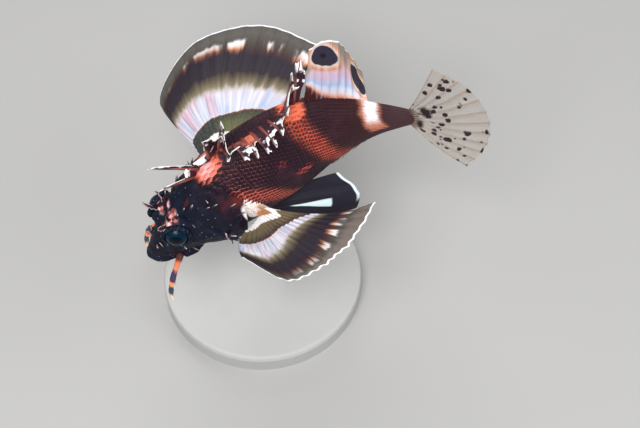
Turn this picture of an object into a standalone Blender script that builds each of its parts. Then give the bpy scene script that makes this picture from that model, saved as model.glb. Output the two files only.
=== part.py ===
# Twinspot lionfish, Dendrochirus biocellatus: a still, life-size model on a plain display stand.
# Units are metres with +Z up. The fish faces -X, its left side is toward -Y, and the origin is the
# centre of the stand's underside. Fish proportions are fractions of the standard length: station s
# runs along the backbone from the snout (0) to the root of the tail fin (1), and a point beside it
# is (s, left, up).

import bmesh
import bpy
import numpy as np

STANDARD_LENGTH = 0.080
GAP = 0.0003
LIFT = 0.056
REFERENCE_STATION = 0.45

# Pose of the backbone: station, then yaw to the left, pitch up and roll to the right, in degrees.
POSE = (
    (-0.10, 8, -35, -7), (0.15, 7, -34, -6), (0.30, 5, -31, -3), (0.45, 6, -25, 3), (0.60, 6, -15, 8),
    (0.75, -5, -11, 8), (0.90, -18, -10, 6), (1.00, -26, -10, 4), (1.35, -34, -8, 2),
)

# Profile of the body: station, then height of the back, depth of the belly and half width.
PROFILE = (
    (-0.012, 0.006, 0.018, 0.010), (0.000, 0.024, 0.044, 0.028), (0.030, 0.050, 0.068, 0.045),
    (0.070, 0.080, 0.088, 0.059), (0.110, 0.108, 0.104, 0.071), (0.160, 0.136, 0.120, 0.084),
    (0.220, 0.158, 0.136, 0.099), (0.300, 0.186, 0.152, 0.114), (0.400, 0.204, 0.166, 0.116),
    (0.500, 0.204, 0.166, 0.106), (0.600, 0.192, 0.156, 0.091), (0.700, 0.168, 0.126, 0.070),
    (0.800, 0.122, 0.090, 0.048), (0.880, 0.078, 0.062, 0.033), (0.950, 0.050, 0.044, 0.022),
    (1.000, 0.032, 0.029, 0.013), (1.020, 0.024, 0.021, 0.008),
)
BODY_SIDES = 28
BODY_STATIONS = (-0.012, -0.006, 0.003, 0.016, 0.034, 0.06, 0.09, 0.12, 0.155, 0.19, 0.225, 0.26, 0.295,
                 0.33, 0.357, 0.372, 0.384, 0.41, 0.45, 0.5, 0.55, 0.6, 0.65, 0.7, 0.75, 0.8, 0.85, 0.9, 0.95,
                 1.0, 1.018)
GILL_COVER_EDGE = 0.372
GILL_COVER_RISE = 0.012
HEAD_CUT = 0.372
HEAD_CUT_TILT = 14.0
TAIL_CUT = 0.885

EYE_PLACE = (0.152, 0.051, 0.092)
EYE_RADIUS = 0.046
EYE_AIM = (0.30, 0.86, 0.40)
LID_THICKNESS = 0.009
LID_HEIGHT = 0.52
ORBIT_SPREAD = 1.18
MOUTH_LENGTH = 0.135
MOUTH_FRONT = -0.006
MOUTH_DROP = 0.070
LIP_RADIUS = 0.0125
MOUTH_GROOVE = 0.006
CHEEK_SPINES = 4
SPINE_SIDES = 5

RAY_THICKNESS = 0.00095
MEMBRANE_THICKNESS = 0.00055
TIP_THICKNESS = 0.00035

PECTORAL_RAYS = 17
PECTORAL_ROOT = ((0.392, 0.102, 0.018), (0.380, 0.088, -0.112))
PECTORAL_LOBE = ((0.388, 0.088, -0.048), (0.026, 0.026, 0.078))
# Tips of the pectoral rays from the uppermost to the lowest, as (back, out, up) from their roots.
PECTORAL_TIPS_LEFT = ((0.355, 0.260, -0.010), (0.250, 0.345, 0.050), (0.140, 0.365, 0.080),
                      (0.004, 0.328, 0.092), (-0.092, 0.167, 0.128))
PECTORAL_TIPS_RIGHT = ((0.440, 0.225, -0.090), (0.310, 0.430, -0.035), (0.086, 0.508, 0.050),
                       (-0.128, 0.430, 0.047), (-0.111, 0.279, 0.035))
# Bow of those rays at their middle, by share of the way across the fin.
PECTORAL_BOW_LEFT = ((0.00, 0.000, 0.038, -0.030), (0.15, -0.010, 0.016, 0.000),
                     (0.35, -0.020, 0.000, 0.030), (0.80, -0.025, 0.000, 0.030), (1.00, -0.038, 0.000, 0.026))
PECTORAL_BOW_RIGHT = ((0.00, 0.060, -0.010, -0.010), (0.20, 0.015, 0.000, 0.015),
                      (0.40, -0.020, 0.000, 0.030), (0.80, -0.022, 0.000, 0.026), (1.00, -0.036, 0.000, 0.010))

# Median fins: stretch of the body that each grows from, then tips of its rays from first to last,
# as a share of that stretch and (back, left, up) from the roots.
DORSAL_SPINES = 13
DORSAL_PARTS = {"dorsal_fin_front": (1, 3), "dorsal_fin_middle": (4, 10), "dorsal_fin_rear": (11, 13)}
DORSAL_BASE = (0.325, 0.646)
DORSAL_TIPS = ((0.00, -0.076, 0.062, 0.127), (0.09, -0.095, 0.005, 0.165), (0.17, 0.062, 0.039, 0.142),
               (0.25, 0.106, 0.026, 0.143),
               (0.33, 0.030, 0.155, 0.123), (0.42, 0.037, 0.175, 0.090), (0.58, 0.030, 0.180, 0.050),
               (0.75, 0.023, 0.165, 0.062), (0.84, 0.034, 0.118, 0.086), (0.92, 0.070, 0.031, 0.151),
               (1.00, 0.062, 0.005, 0.157))
SOFT_DORSAL_RAYS = 9
SOFT_DORSAL_BASE = (0.680, 0.865)
SOFT_DORSAL_TIPS = ((0.00, 0.078, -0.018, 0.172), (0.25, 0.062, -0.010, 0.212), (0.50, 0.056, -0.020, 0.206),
                    (0.75, 0.020, -0.090, 0.120), (1.00, -0.010, -0.115, 0.035))
ANAL_RAYS = 8
ANAL_BASE = (0.665, 0.850)
ANAL_TIPS = ((0.00, 0.050, -0.060, -0.080), (0.30, 0.100, -0.095, -0.085), (0.70, 0.115, -0.105, -0.065),
             (1.00, 0.095, -0.085, -0.035))
CAUDAL_RAYS = 12
CAUDAL_ROOT_HALF = 0.027
CAUDAL_TIPS = ((0.00, 0.090, 0.040, 0.228), (0.25, 0.190, 0.050, 0.171), (0.50, 0.250, 0.060, 0.060),
               (0.75, 0.235, 0.060, -0.061), (1.00, 0.165, 0.055, -0.148))

PELVIC_RAYS = 6
PELVIC_ROOT = ((0.368, 0.054, -0.136), (0.392, 0.034, -0.150))
PELVIC_TIPS = ((0.120, 0.060, -0.200), (0.220, 0.070, -0.230), (0.275, 0.050, -0.184), (0.254, 0.002, -0.085))

TENTACLE_ROOT = (0.070, 0.066, -0.012)
TENTACLE_LENGTH = 0.185
TENTACLE_RADIUS = 0.014

BASE_RADIUS = 0.029
BASE_THICKNESS = 0.006
BASE_BEVEL = 0.0012
ROD_STATION = 0.565
ROD_RADIUS = 0.0016

for stale in list(bpy.data.objects):
    bpy.data.objects.remove(stale, do_unlink=True)


def smooth(keys, at):
    """Smooth curve through rows of (position, values...), held level past both ends."""
    rows = np.array(keys, float)
    x, y = rows[:, 0], rows[:, 1:]
    slope = np.gradient(y, x, axis=0)
    at = np.clip(np.asarray(at, float), x[0], x[-1])
    i = np.clip(np.searchsorted(x, at, side="right") - 1, 0, len(x) - 2)
    h = (x[i + 1] - x[i])[..., None]
    t = (at - x[i])[..., None] / h
    start = (1 + 2 * t) * (1 - t) ** 2 * y[i] + t * (1 - t) ** 2 * h * slope[i]
    end = t * t * (3 - 2 * t) * y[i + 1] + t * t * (t - 1) * h * slope[i + 1]
    return start + end


def unit(vector):
    return vector / np.maximum(np.linalg.norm(vector, axis=-1, keepdims=True), 1e-12)


# Backbone: axes at close stations, and its path summed from them.
STATIONS = np.linspace(-0.10, 1.35, 291)
YAW, PITCH, ROLL = np.radians(smooth(POSE, STATIONS)).T
FORWARD = np.stack([-np.cos(YAW) * np.cos(PITCH), -np.sin(YAW) * np.cos(PITCH), np.sin(PITCH)], 1)
LEVEL_LEFT = np.stack([np.sin(YAW), -np.cos(YAW), 0 * YAW], 1)
LEVEL_UP = np.cross(LEVEL_LEFT, -FORWARD)
LEFT = LEVEL_LEFT * np.cos(ROLL)[:, None] + LEVEL_UP * np.sin(ROLL)[:, None]
UP = LEVEL_UP * np.cos(ROLL)[:, None] - LEVEL_LEFT * np.sin(ROLL)[:, None]
PATH = np.concatenate([np.zeros((1, 3)), np.cumsum(-(FORWARD[1:] + FORWARD[:-1]) / 2, axis=0)])
PATH = PATH * (STATIONS[1] - STATIONS[0]) * STANDARD_LENGTH


def along(values, s):
    return np.stack([np.interp(s, STATIONS, values[:, k]) for k in range(3)], axis=-1)


PATH = PATH - along(PATH, REFERENCE_STATION) + np.array([0.0, 0.0, LIFT])


def place(s, left=0.0, up=0.0):
    """World point of a place on the fish."""
    side = np.asarray(left, float)[..., None] * STANDARD_LENGTH
    rise = np.asarray(up, float)[..., None] * STANDARD_LENGTH
    return along(PATH, s) + unit(along(LEFT, s)) * side + unit(along(UP, s)) * rise


def offset(s, back, left, up):
    """World vector of an offset in the fish's own axes at a station."""
    axes = [-along(FORWARD, s), along(LEFT, s), along(UP, s)]
    return (axes[0] * back + axes[1] * left + axes[2] * up) * STANDARD_LENGTH


def material(name, colour, roughness, metallic=0.0):
    made = bpy.data.materials.new(name)
    made.use_nodes = True
    shader = made.node_tree.nodes["Principled BSDF"]
    shader.inputs["Base Color"].default_value = (*colour, 1.0)
    shader.inputs["Roughness"].default_value = roughness
    shader.inputs["Metallic"].default_value = metallic
    made.diffuse_color = (*colour, 1.0)
    return made


def add_object(name, points, faces, look=None):
    mesh = bpy.data.meshes.new(name)
    mesh.from_pydata([tuple(p) for p in points], [], faces)
    mesh.validate()
    made = bpy.data.objects.new(name, mesh)
    bpy.context.scene.collection.objects.link(made)
    if look:
        mesh.materials.append(look)
    shell = bmesh.new()
    shell.from_mesh(mesh)
    bmesh.ops.recalc_face_normals(shell, faces=shell.faces)
    if shell.calc_volume(signed=True) < 0:
        bmesh.ops.reverse_faces(shell, faces=shell.faces)
    shell.to_mesh(mesh)
    shell.free()
    return made


def keep_largest(target):
    """Leave only the largest closed surface of an object."""
    shell = bmesh.new()
    shell.from_mesh(target.data)
    islands = []
    unseen = set(shell.verts)
    while unseen:
        island = {unseen.pop()}
        edge_of = list(island)
        while edge_of:
            here = edge_of.pop()
            for link in here.link_edges:
                other = link.other_vert(here)
                if other in unseen:
                    unseen.discard(other)
                    island.add(other)
                    edge_of.append(other)
        islands.append(island)
    islands.sort(key=len)
    loose = [vertex for island in islands[:-1] for vertex in island]
    bmesh.ops.delete(shell, geom=loose, context="VERTS")
    bmesh.ops.triangulate(shell, faces=shell.faces)
    shell.to_mesh(target.data)
    shell.free()


def combine(target, pieces, operation):
    """One Boolean with a collection of closed pieces, applied, and the pieces removed."""
    group = bpy.data.collections.new(target.name + "_pieces")
    bpy.context.scene.collection.children.link(group)
    for piece in pieces:
        bpy.context.scene.collection.objects.unlink(piece)
        group.objects.link(piece)
    boolean = target.modifiers.new("Combine", "BOOLEAN")
    boolean.operation = operation
    boolean.operand_type = "COLLECTION"
    boolean.collection = group
    boolean.solver = "MANIFOLD"
    view = bpy.context.evaluated_depsgraph_get()
    result = bpy.data.meshes.new_from_object(target.evaluated_get(view))
    target.modifiers.clear()
    target.data = result
    for piece in pieces:
        bpy.data.objects.remove(piece, do_unlink=True)
    bpy.data.collections.remove(group)
    keep_largest(target)
    return target


def tube(name, centres, radii, sides, flatten=1.0, side_axis=None):
    """Closed tube along a path, round or flattened across one axis, pointed where a radius is small."""
    centres = np.asarray(centres, float)
    ahead = unit(np.gradient(centres, axis=0))
    guide = np.array([0.0, 0.0, 1.0]) if side_axis is None else np.asarray(side_axis, float)
    across = unit(np.cross(np.broadcast_to(guide, ahead.shape), ahead))
    third = np.cross(ahead, across)
    turn = np.linspace(0, 2 * np.pi, sides, endpoint=False)
    points = []
    for centre, a, b, radius in zip(centres, across, third, radii):
        points += [centre + radius * (a * np.cos(w) + b * np.sin(w) * flatten) for w in turn]
    return loft(name, points, len(centres), sides)


def loft(name, points, rings, sides, look=None):
    """Closed surface through rings of equal count, with a fan at each end."""
    first = np.mean(points[:sides], axis=0)
    last = np.mean(points[-sides:], axis=0)
    faces = []
    for r in range(rings - 1):
        for k in range(sides):
            n = (k + 1) % sides
            faces.append((r * sides + k, r * sides + n, (r + 1) * sides + n, (r + 1) * sides + k))
    for k in range(sides):
        n = (k + 1) % sides
        faces.append((n, k, len(points)))
        faces.append(((rings - 1) * sides + k, (rings - 1) * sides + n, len(points) + 1))
    return add_object(name, list(points) + [first, last], faces, look)


def body_section(s, turn, grow=0.0):
    """Local (left, up) of the skin at a station, for angles around it from the left side upward."""
    top, bottom, wide = smooth(PROFILE, s)
    middle = (top - bottom) / 2
    half = (top + bottom) / 2
    up = np.sin(turn)
    keel = 1 - 0.20 * np.clip(up, 0, 1) ** 2 - 0.06 * np.clip(-up, 0, 1) ** 2
    cheek = np.exp(-((up + 0.15) / 0.55) ** 2)
    cover = GILL_COVER_RISE * cheek * np.clip((s - 0.20) / 0.12, 0, 1) * (s <= GILL_COVER_EDGE)
    side = (wide + cover) * np.sign(np.cos(turn)) * np.abs(np.cos(turn)) ** 0.92 * keel
    side = side + grow * np.cos(turn)
    return side, middle + (half + grow) * up


def body_solid(name, grow=0.0, look=None):
    turn = np.linspace(0, 2 * np.pi, BODY_SIDES, endpoint=False)
    points = []
    for s in BODY_STATIONS:
        side, up = body_section(s, turn, grow)
        points += list(place(np.full(BODY_SIDES, s), side, up))
    return loft(name, points, len(BODY_STATIONS), BODY_SIDES, look)


def grown_body():
    return body_solid("body_cutter", grow=GAP / STANDARD_LENGTH)


def ellipsoid(name, centre, axes):
    """Closed egg with three half axes given as world vectors."""
    ball = bmesh.new()
    bmesh.ops.create_uvsphere(ball, u_segments=12, v_segments=7, radius=1.0)
    frame = np.array(axes).T
    points = [centre + frame @ np.array(v.co) for v in ball.verts]
    faces = [[v.index for v in f.verts] for f in ball.faces]
    ball.free()
    return add_object(name, points, faces)


def slab(name, s, tilt, side):
    """Large block that covers all of the fish behind (side 1) or ahead (side -1) of a station."""
    centre = place(s)
    up, left = unit(along(UP, s)), unit(along(LEFT, s))
    back = unit(-along(FORWARD, s))
    lean = np.radians(tilt)
    normal = unit(back * np.cos(lean) + up * np.sin(lean))
    rise = unit(np.cross(normal, left))
    size = STANDARD_LENGTH
    near = centre - normal * side * GAP / 2
    corners = []
    for depth in (0, side * 1.4 * size):
        for a, b in ((-1, -1), (1, -1), (1, 1), (-1, 1)):
            corners.append(near + normal * depth + left * a * size + rise * b * size)
    faces = [(0, 1, 2, 3), (4, 5, 6, 7), (0, 1, 5, 4), (1, 2, 6, 5), (2, 3, 7, 6), (3, 0, 4, 7)]
    return add_object(name, corners, faces)


def skin_place(s, angle, lift=0.0):
    """World point on the skin at a station and an angle in degrees up from the left side."""
    side, up = body_section(s, np.radians(angle))
    outward = np.array([np.cos(np.radians(angle)), np.sin(np.radians(angle))]) * lift
    return place(s, side + outward[0], up + outward[1])


# Eyes, set in sockets with a raised lid round each.
EYE_FRAMES = {}
for side_name, side in (("left", 1), ("right", -1)):
    s, out, up = EYE_PLACE
    centre = place(s, side * out, up)
    aim = unit(offset(s, -EYE_AIM[0], side * EYE_AIM[1], EYE_AIM[2]))
    EYE_FRAMES[side_name] = (centre, aim)


def aimed_axes(aim):
    across = unit(np.cross(np.array([0.0, 0.0, 1.0]), aim))
    return across, np.cross(aim, across)


def eye_ball(name, side_name, grow, look=None):
    centre, aim = EYE_FRAMES[side_name]
    across, rise = aimed_axes(aim)
    radius = EYE_RADIUS * STANDARD_LENGTH + grow
    made = ellipsoid(name, centre, (across * radius, rise * radius, aim * radius))
    if look:
        made.data.materials.append(look)
    return made


def eyelid(side_name):
    """Ring of lid round an eye, from its rim on the ball outward."""
    centre, aim = EYE_FRAMES[side_name]
    across, rise = aimed_axes(aim)
    points, faces = [], []
    around, section = 14, 5
    radius = EYE_RADIUS * STANDARD_LENGTH
    middle = radius * np.sqrt(1 - LID_HEIGHT ** 2) * 1.05
    thick = LID_THICKNESS * STANDARD_LENGTH
    for k in range(around):
        w = 2 * np.pi * k / around
        out = across * np.cos(w) + rise * np.sin(w)
        for j in range(section):
            v = 2 * np.pi * j / section
            spot = out * (middle + thick * np.cos(v)) + aim * (thick * 1.3 * np.sin(v) + LID_HEIGHT * radius)
            points.append(centre + spot)
            a, b = k * section + j, k * section + (j + 1) % section
            c, d = ((k + 1) % around) * section + (j + 1) % section, ((k + 1) % around) * section + j
            faces.append((a, b, c, d))
    return add_object("lid_" + side_name, points, faces)


def orbit(side_name):
    """Fleshy mound that carries the lid of an eye."""
    centre, aim = EYE_FRAMES[side_name]
    across, rise = aimed_axes(aim)
    radius = EYE_RADIUS * STANDARD_LENGTH
    wide, high = radius * ORBIT_SPREAD, radius * 0.62
    return ellipsoid("orbit_" + side_name, centre, (across * wide, rise * wide, aim * high))


def mouth_line(shift):
    """World points of the mouth from its left corner round the snout to the right one."""
    spots = []
    for t in np.linspace(-1, 1, 15):
        s = MOUTH_FRONT + MOUTH_LENGTH * abs(t) ** 1.7
        height = -0.008 - MOUTH_DROP * abs(t) ** 1.3 + shift
        top, bottom, wide = smooth(PROFILE, s)
        middle, half = (top - bottom) / 2, (top + bottom) / 2
        rise = np.clip((height - middle) / half, -0.98, 0.98)
        side = wide * np.sqrt(1 - rise * rise) * 0.98
        spots.append(place(s, -np.sign(t) * side if t else 0.0, height))
    return np.array(spots)


def spike(name, root, tip, radius, sides=SPINE_SIDES):
    path = [root + (tip - root) * t for t in (0.0, 0.55, 1.0)]
    return tube(name, path, [radius, radius * 0.6, radius * 0.12], sides, side_axis=(0.31, 0.17, 0.93))


def leaf(name, root, tip, bend, width, thickness, across):
    """Flat tapered flap of skin."""
    t = np.linspace(0, 1, 6)
    path = [root + (tip - root) * k + bend * np.sin(np.pi * k) for k in t]
    radii = width * np.array([0.55, 0.85, 1.0, 0.9, 0.6, 0.2])
    return tube(name, path, radii, 6, flatten=thickness / width, side_axis=across)


def jaws(grow=0.0):
    """Both lips, and the broad hind end of the upper jaw at each corner of the mouth."""
    lip = LIP_RADIUS * STANDARD_LENGTH
    taper = 1 - 0.45 * np.abs(np.linspace(-1, 1, 15)) ** 2
    pieces = []
    for name, shift in (("upper_lip", 0.0125), ("lower_lip", -0.0145)):
        pieces.append(tube(name, mouth_line(shift), lip * taper + grow, 6, side_axis=(0.0, 0.02, 1.0)))
    for side in (1, -1):
        jaw_end = place(MOUTH_LENGTH * 0.80, side * 0.070, -0.060)
        down = offset(MOUTH_LENGTH, 0.020, side * 0.002, -0.018)
        pieces.append(tube("jaw_end", [jaw_end - down, jaw_end, jaw_end + down],
                           np.array([0.5, 1.1, 0.6]) * lip + grow, 6, side_axis=offset(0.1, 0, 1, 0)))
    return pieces


def head_pieces():
    """Raised forms of the head: lids, jaws, brow and cheek ridges, nostril rims, spines and cirri."""
    pieces = [eyelid("left"), eyelid("right"), orbit("left"), orbit("right")] + jaws()
    for side in (1, -1):
        mirror = (lambda angle: angle) if side > 0 else (lambda angle: 180 - angle)
        for k in range(CHEEK_SPINES):
            angle = mirror(-8 - 17 * k)
            s = 0.275 - 0.012 * k
            root = skin_place(s - 0.012, angle, -0.012)
            tip = skin_place(s + 0.026, angle, 0.024)
            pieces.append(spike("cheek_spine", root, tip, 0.010 * STANDARD_LENGTH))
        ridge = [skin_place(s, mirror(a), 0.001) for s, a in ((0.16, 6), (0.20, 2), (0.235, -2), (0.262, -6))]
        pieces.append(tube("cheek_ridge", ridge, np.array([0.004, 0.009, 0.010, 0.006]) * STANDARD_LENGTH, 6,
                           side_axis=offset(0.2, 0, 0, 1)))
        brow = [place(s, side * w, h) for s, w, h in ((0.118, 0.034, 0.108), (0.150, 0.038, 0.139),
                                                      (0.180, 0.040, 0.146), (0.205, 0.042, 0.158))]
        pieces.append(tube("brow", brow, np.array([0.006, 0.013, 0.012, 0.004]) * STANDARD_LENGTH, 6,
                           side_axis=offset(0.16, 0, 1, 0)))
        root = place(0.150, side * 0.036, 0.128)
        tip = root + offset(0.150, -0.035, side * 0.035, 0.085)
        pieces.append(leaf("brow_cirrus", root, tip, offset(0.15, -0.01, 0, 0), 0.013 * STANDARD_LENGTH,
                           0.0005, offset(0.15, 0, 1, 0)))
        nape = place(0.245, side * 0.052, 0.135)
        pieces.append(spike("nape_spine", nape, nape + offset(0.245, 0.028, side * 0.012, 0.034),
                            0.009 * STANDARD_LENGTH))
        nostril = skin_place(0.068, mirror(52), -0.004)
        rise = unit(skin_place(0.068, mirror(52), 0.02) - nostril)
        pieces.append(tube("nostril_rim", [nostril, nostril + rise * 0.0009], [0.0008, 0.0006], 7,
                           side_axis=offset(0.07, 1, 0.1, 0)))
    return pieces


def head_hollows():
    """Cutters of the head: eye sockets, groove of the mouth and nostrils."""
    pieces = [eye_ball("socket_left", "left", GAP), eye_ball("socket_right", "right", GAP)]
    groove = MOUTH_GROOVE * STANDARD_LENGTH * np.ones(15)
    pieces.append(tube("mouth_groove", mouth_line(-0.001) * 1.0, groove, 5, side_axis=(0.0, 0.02, 1.0)))
    for side in (1, -1):
        angle = 52 if side > 0 else 128
        pit = skin_place(0.068, angle, 0.020)
        root = skin_place(0.068, angle, -0.008)
        pieces.append(tube("nostril", [root, pit], [0.00032, 0.00036], 6, side_axis=offset(0.07, 1, 0.1, 0)))
    return pieces


def pectoral_lobe(side, grow=0.0):
    """Fleshy root of a pectoral fin."""
    spot, radii = PECTORAL_LOBE
    s, out, up = spot
    back, across, rise = (r * STANDARD_LENGTH + grow for r in radii)
    axes = (unit(-along(FORWARD, s)) * back, unit(along(LEFT, s)) * across * side, unit(along(UP, s)) * rise)
    return ellipsoid("lobe", place(s, side * out, up), axes)


# Flesh: one body parted by thin cuts into head, torso and tail.
skin_dark = (0.045, 0.022, 0.028)
head = body_solid("head", look=material("head_skin", (0.030, 0.026, 0.034), 0.5))
combine(head, head_pieces(), "UNION")
combine(head, head_hollows() + [slab("behind_head", HEAD_CUT, HEAD_CUT_TILT, 1)], "DIFFERENCE")

torso = body_solid("torso", look=material("torso_skin", skin_dark, 0.5))
combine(torso, [pectoral_lobe(1), pectoral_lobe(-1)], "UNION")
combine(torso, [slab("ahead_of_torso", HEAD_CUT, HEAD_CUT_TILT, -1), slab("behind_torso", TAIL_CUT, 0.0, 1)],
        "DIFFERENCE")

tail = body_solid("tail", look=material("tail_skin", skin_dark, 0.5))
combine(tail, [slab("ahead_of_tail", TAIL_CUT, 0.0, -1)], "DIFFERENCE")

for side_name in ("left", "right"):
    eye_ball("eye_" + side_name, side_name, 0.0, material("eye_" + side_name, (0.010, 0.045, 0.050), 0.08))


def vane(name, grid, thickness, look, normal=None):
    """Thin closed sheet: grid[column][row] from root to rim, split into triangles alike on both faces."""
    grid = np.asarray(grid, float)
    columns, rows = grid.shape[:2]
    if normal is None:
        normal = unit(np.cross(np.gradient(grid, axis=0), np.gradient(grid, axis=1)))
    half = np.asarray(thickness)[..., None] / 2
    points = np.concatenate([(grid + normal * half).reshape(-1, 3), (grid - normal * half).reshape(-1, 3)])
    back = columns * rows
    faces = []
    for c in range(columns - 1):
        for r in range(rows - 1):
            a, b, d, e = c * rows + r, (c + 1) * rows + r, (c + 1) * rows + r + 1, c * rows + r + 1
            faces += [(a, b, d), (a, d, e), (back + a, back + d, back + b), (back + a, back + e, back + d)]
    border = [(c * rows, (c + 1) * rows) for c in range(columns - 1)]
    border += [((columns - 1) * rows + r, (columns - 1) * rows + r + 1) for r in range(rows - 1)]
    border += [((c + 1) * rows + rows - 1, c * rows + rows - 1) for c in range(columns - 2, -1, -1)]
    border += [(r + 1, r) for r in range(rows - 2, -1, -1)]
    for a, b in border:
        faces += [(a, back + a, back + b), (a, back + b, b)]
    return add_object(name, points, faces, look)


def ray_thickness(columns, rows, is_ray, rim=TIP_THICKNESS):
    """Thick along the rays, thin between them and thinnest at the rim."""
    t = np.linspace(0, 1, rows)
    ray = RAY_THICKNESS + (MEMBRANE_THICKNESS - RAY_THICKNESS) * t ** 1.5
    web = np.full(rows, MEMBRANE_THICKNESS)
    table = np.array([ray if is_ray(c) else web for c in range(columns)])
    table[:, -1] = rim
    return table


def fan(name, rays, rows, scallop, ray_line, look, cutters):
    """Fin of rays and web: ray_line(k) gives root, tip and belly vector for k from 0 to 1."""
    columns = 2 * rays - 1
    grid = []
    for c in range(columns):
        root, tip, belly = ray_line(c / (columns - 1))
        reach = 1.0 if c % 2 == 0 else 1 - scallop
        t = np.linspace(0, reach, rows)[:, None]
        grid.append(root + (tip - root) * t + belly * np.sin(np.pi * t))
    made = vane(name, grid, ray_thickness(columns, rows, lambda c: c % 2 == 0), look)
    return combine(made, cutters, "DIFFERENCE")


def pectoral_fin(side_name, side, tips, bow):
    keys = [(k, *tip) for k, tip in zip(np.linspace(0, 1, len(tips)), tips)]
    upper, lower = np.array(PECTORAL_ROOT)

    def ray_line(k):
        s, out, up = upper + (lower - upper) * k
        back, side_way, rise = smooth(keys, k)
        reach = offset(s, back, side * side_way, rise)
        root = place(s, side * out, up)
        bow_back, bow_out, bow_up = smooth(bow, k)
        belly = offset(s, bow_back, side * bow_out, bow_up)
        return root - unit(reach) * 0.020 * STANDARD_LENGTH, root + reach, belly

    lobes = [grown_body(), pectoral_lobe(side, GAP)]
    look = material("pectoral_fin_" + side_name, (0.30, 0.22, 0.20), 0.45)
    fan("pectoral_fin_" + side_name, PECTORAL_RAYS, 8, 0.015, ray_line, look, lobes)


def pelvic_fin(side_name, side):
    keys = [(k, *tip) for k, tip in zip(np.linspace(0, 1, len(PELVIC_TIPS)), PELVIC_TIPS)]
    outer, inner = np.array(PELVIC_ROOT)

    def ray_line(k):
        s, out, up = outer + (inner - outer) * k
        back, side_way, rise = smooth(keys, k)
        reach = offset(s, back, side * side_way, rise)
        root = place(s, side * out, up)
        belly = offset(s, 0.0, side * (0.02 - 0.025 * k), 0.025 * k)
        return root - unit(reach) * 0.02 * STANDARD_LENGTH, root + reach, belly

    look = material("pelvic_fin_" + side_name, (0.012, 0.012, 0.015), 0.4)
    fan("pelvic_fin_" + side_name, PELVIC_RAYS, 6, 0.012, ray_line, look, [grown_body()])


def median_ray(tips, base, k, below=False):
    """Root, tip and station of a ray of a dorsal or anal fin, for k from 0 (first) to 1 (last)."""
    s = base[0] + (base[1] - base[0]) * k
    top, bottom, wide = smooth(PROFILE, s)
    edge = -bottom if below else top
    sunk = edge + 0.018 if below else edge - 0.018
    return place(s, 0.0, sunk), place(s, 0.0, edge) + offset(s, *smooth(tips, k)), s


def soft_dorsal_line(k):
    root, tip, s = median_ray(SOFT_DORSAL_TIPS, SOFT_DORSAL_BASE, k)
    return root, tip, offset(s, 0.0, 0.012, 0.008)


def anal_line(k):
    root, tip, s = median_ray(ANAL_TIPS, ANAL_BASE, k, below=True)
    return root, tip, offset(s, 0.0, 0.010, 0.0)


def caudal_line(k):
    up = CAUDAL_ROOT_HALF * (1 - 2 * k)
    tip = place(1.0, 0.0, up) + offset(1.0, *smooth(CAUDAL_TIPS, k))
    return place(0.985, 0.0, up), tip, offset(1.0, 0.0, 0.012, 0.0)


def spiny_dorsal(name, first, last):
    """Tall spines, each with its own flag of membrane, joined low down by a notched web."""
    stems, heights, thick = [], [], []
    rows = 6
    t = np.linspace(0, 1, rows)[:, None]
    spacing = 1.0 / (DORSAL_SPINES - 1)
    # Columns of one spine: place in the gap behind it, share of the height, thickness, pull to the spine.
    columns = ((0.0, 1.0, 1.3, 0.0), (0.34, 0.86, 0.9, 0.45), (0.60, 0.50, 0.8, 0.0))
    for spine in range(first - 1, last):
        stem_tip = median_ray(DORSAL_TIPS, DORSAL_BASE, spine * spacing)[1]
        for behind, reach, weight, pull in columns:
            k = (spine + behind) * spacing
            root, tip, s = median_ray(DORSAL_TIPS, DORSAL_BASE, min(k, 1.0))
            root = root + offset(s, max(k - 1.0, 0.0) * (DORSAL_BASE[1] - DORSAL_BASE[0]), 0, 0)
            end = tip + (stem_tip - tip) * pull + offset(s, behind * 0.02, 0, 0)
            if k > 1.0:
                end = end + offset(s, (k - 1.0) * 0.3, 0, 0)
            stems.append((root, end - root))
            heights.append(t * reach)
            column = np.linspace(RAY_THICKNESS * weight, MEMBRANE_THICKNESS, rows)
            column[-1] = TIP_THICKNESS
            thick.append(column)

    def web(column, height):
        root, stem = stems[min(max(column, 0), len(stems) - 1)]
        return root + stem * height

    grid = np.array([web(c, height) for c, height in enumerate(heights)])
    across = np.array([web(c + 1, height) - web(c - 1, height) for c, height in enumerate(heights)])
    made = vane(name, grid, thick, material(name, (0.16, 0.07, 0.08), 0.45),
                unit(np.cross(across, np.gradient(grid, axis=1))))
    combine(made, [grown_body()], "DIFFERENCE")


pectoral_fin("left", 1, PECTORAL_TIPS_LEFT, PECTORAL_BOW_LEFT)
pectoral_fin("right", -1, PECTORAL_TIPS_RIGHT, PECTORAL_BOW_RIGHT)
pelvic_fin("left", 1)
pelvic_fin("right", -1)
for part_name, (first, last) in DORSAL_PARTS.items():
    spiny_dorsal(part_name, first, last)
fan("dorsal_fin_soft", SOFT_DORSAL_RAYS, 7, 0.012, soft_dorsal_line,
    material("dorsal_fin_soft", (0.16, 0.12, 0.08), 0.45), [grown_body()])
fan("anal_fin", ANAL_RAYS, 6, 0.02, anal_line, material("anal_fin", (0.16, 0.12, 0.08), 0.45), [grown_body()])
fan("caudal_fin", CAUDAL_RAYS, 6, 0.015, caudal_line, material("caudal_fin", (0.30, 0.26, 0.20), 0.45),
    [grown_body()])


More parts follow.
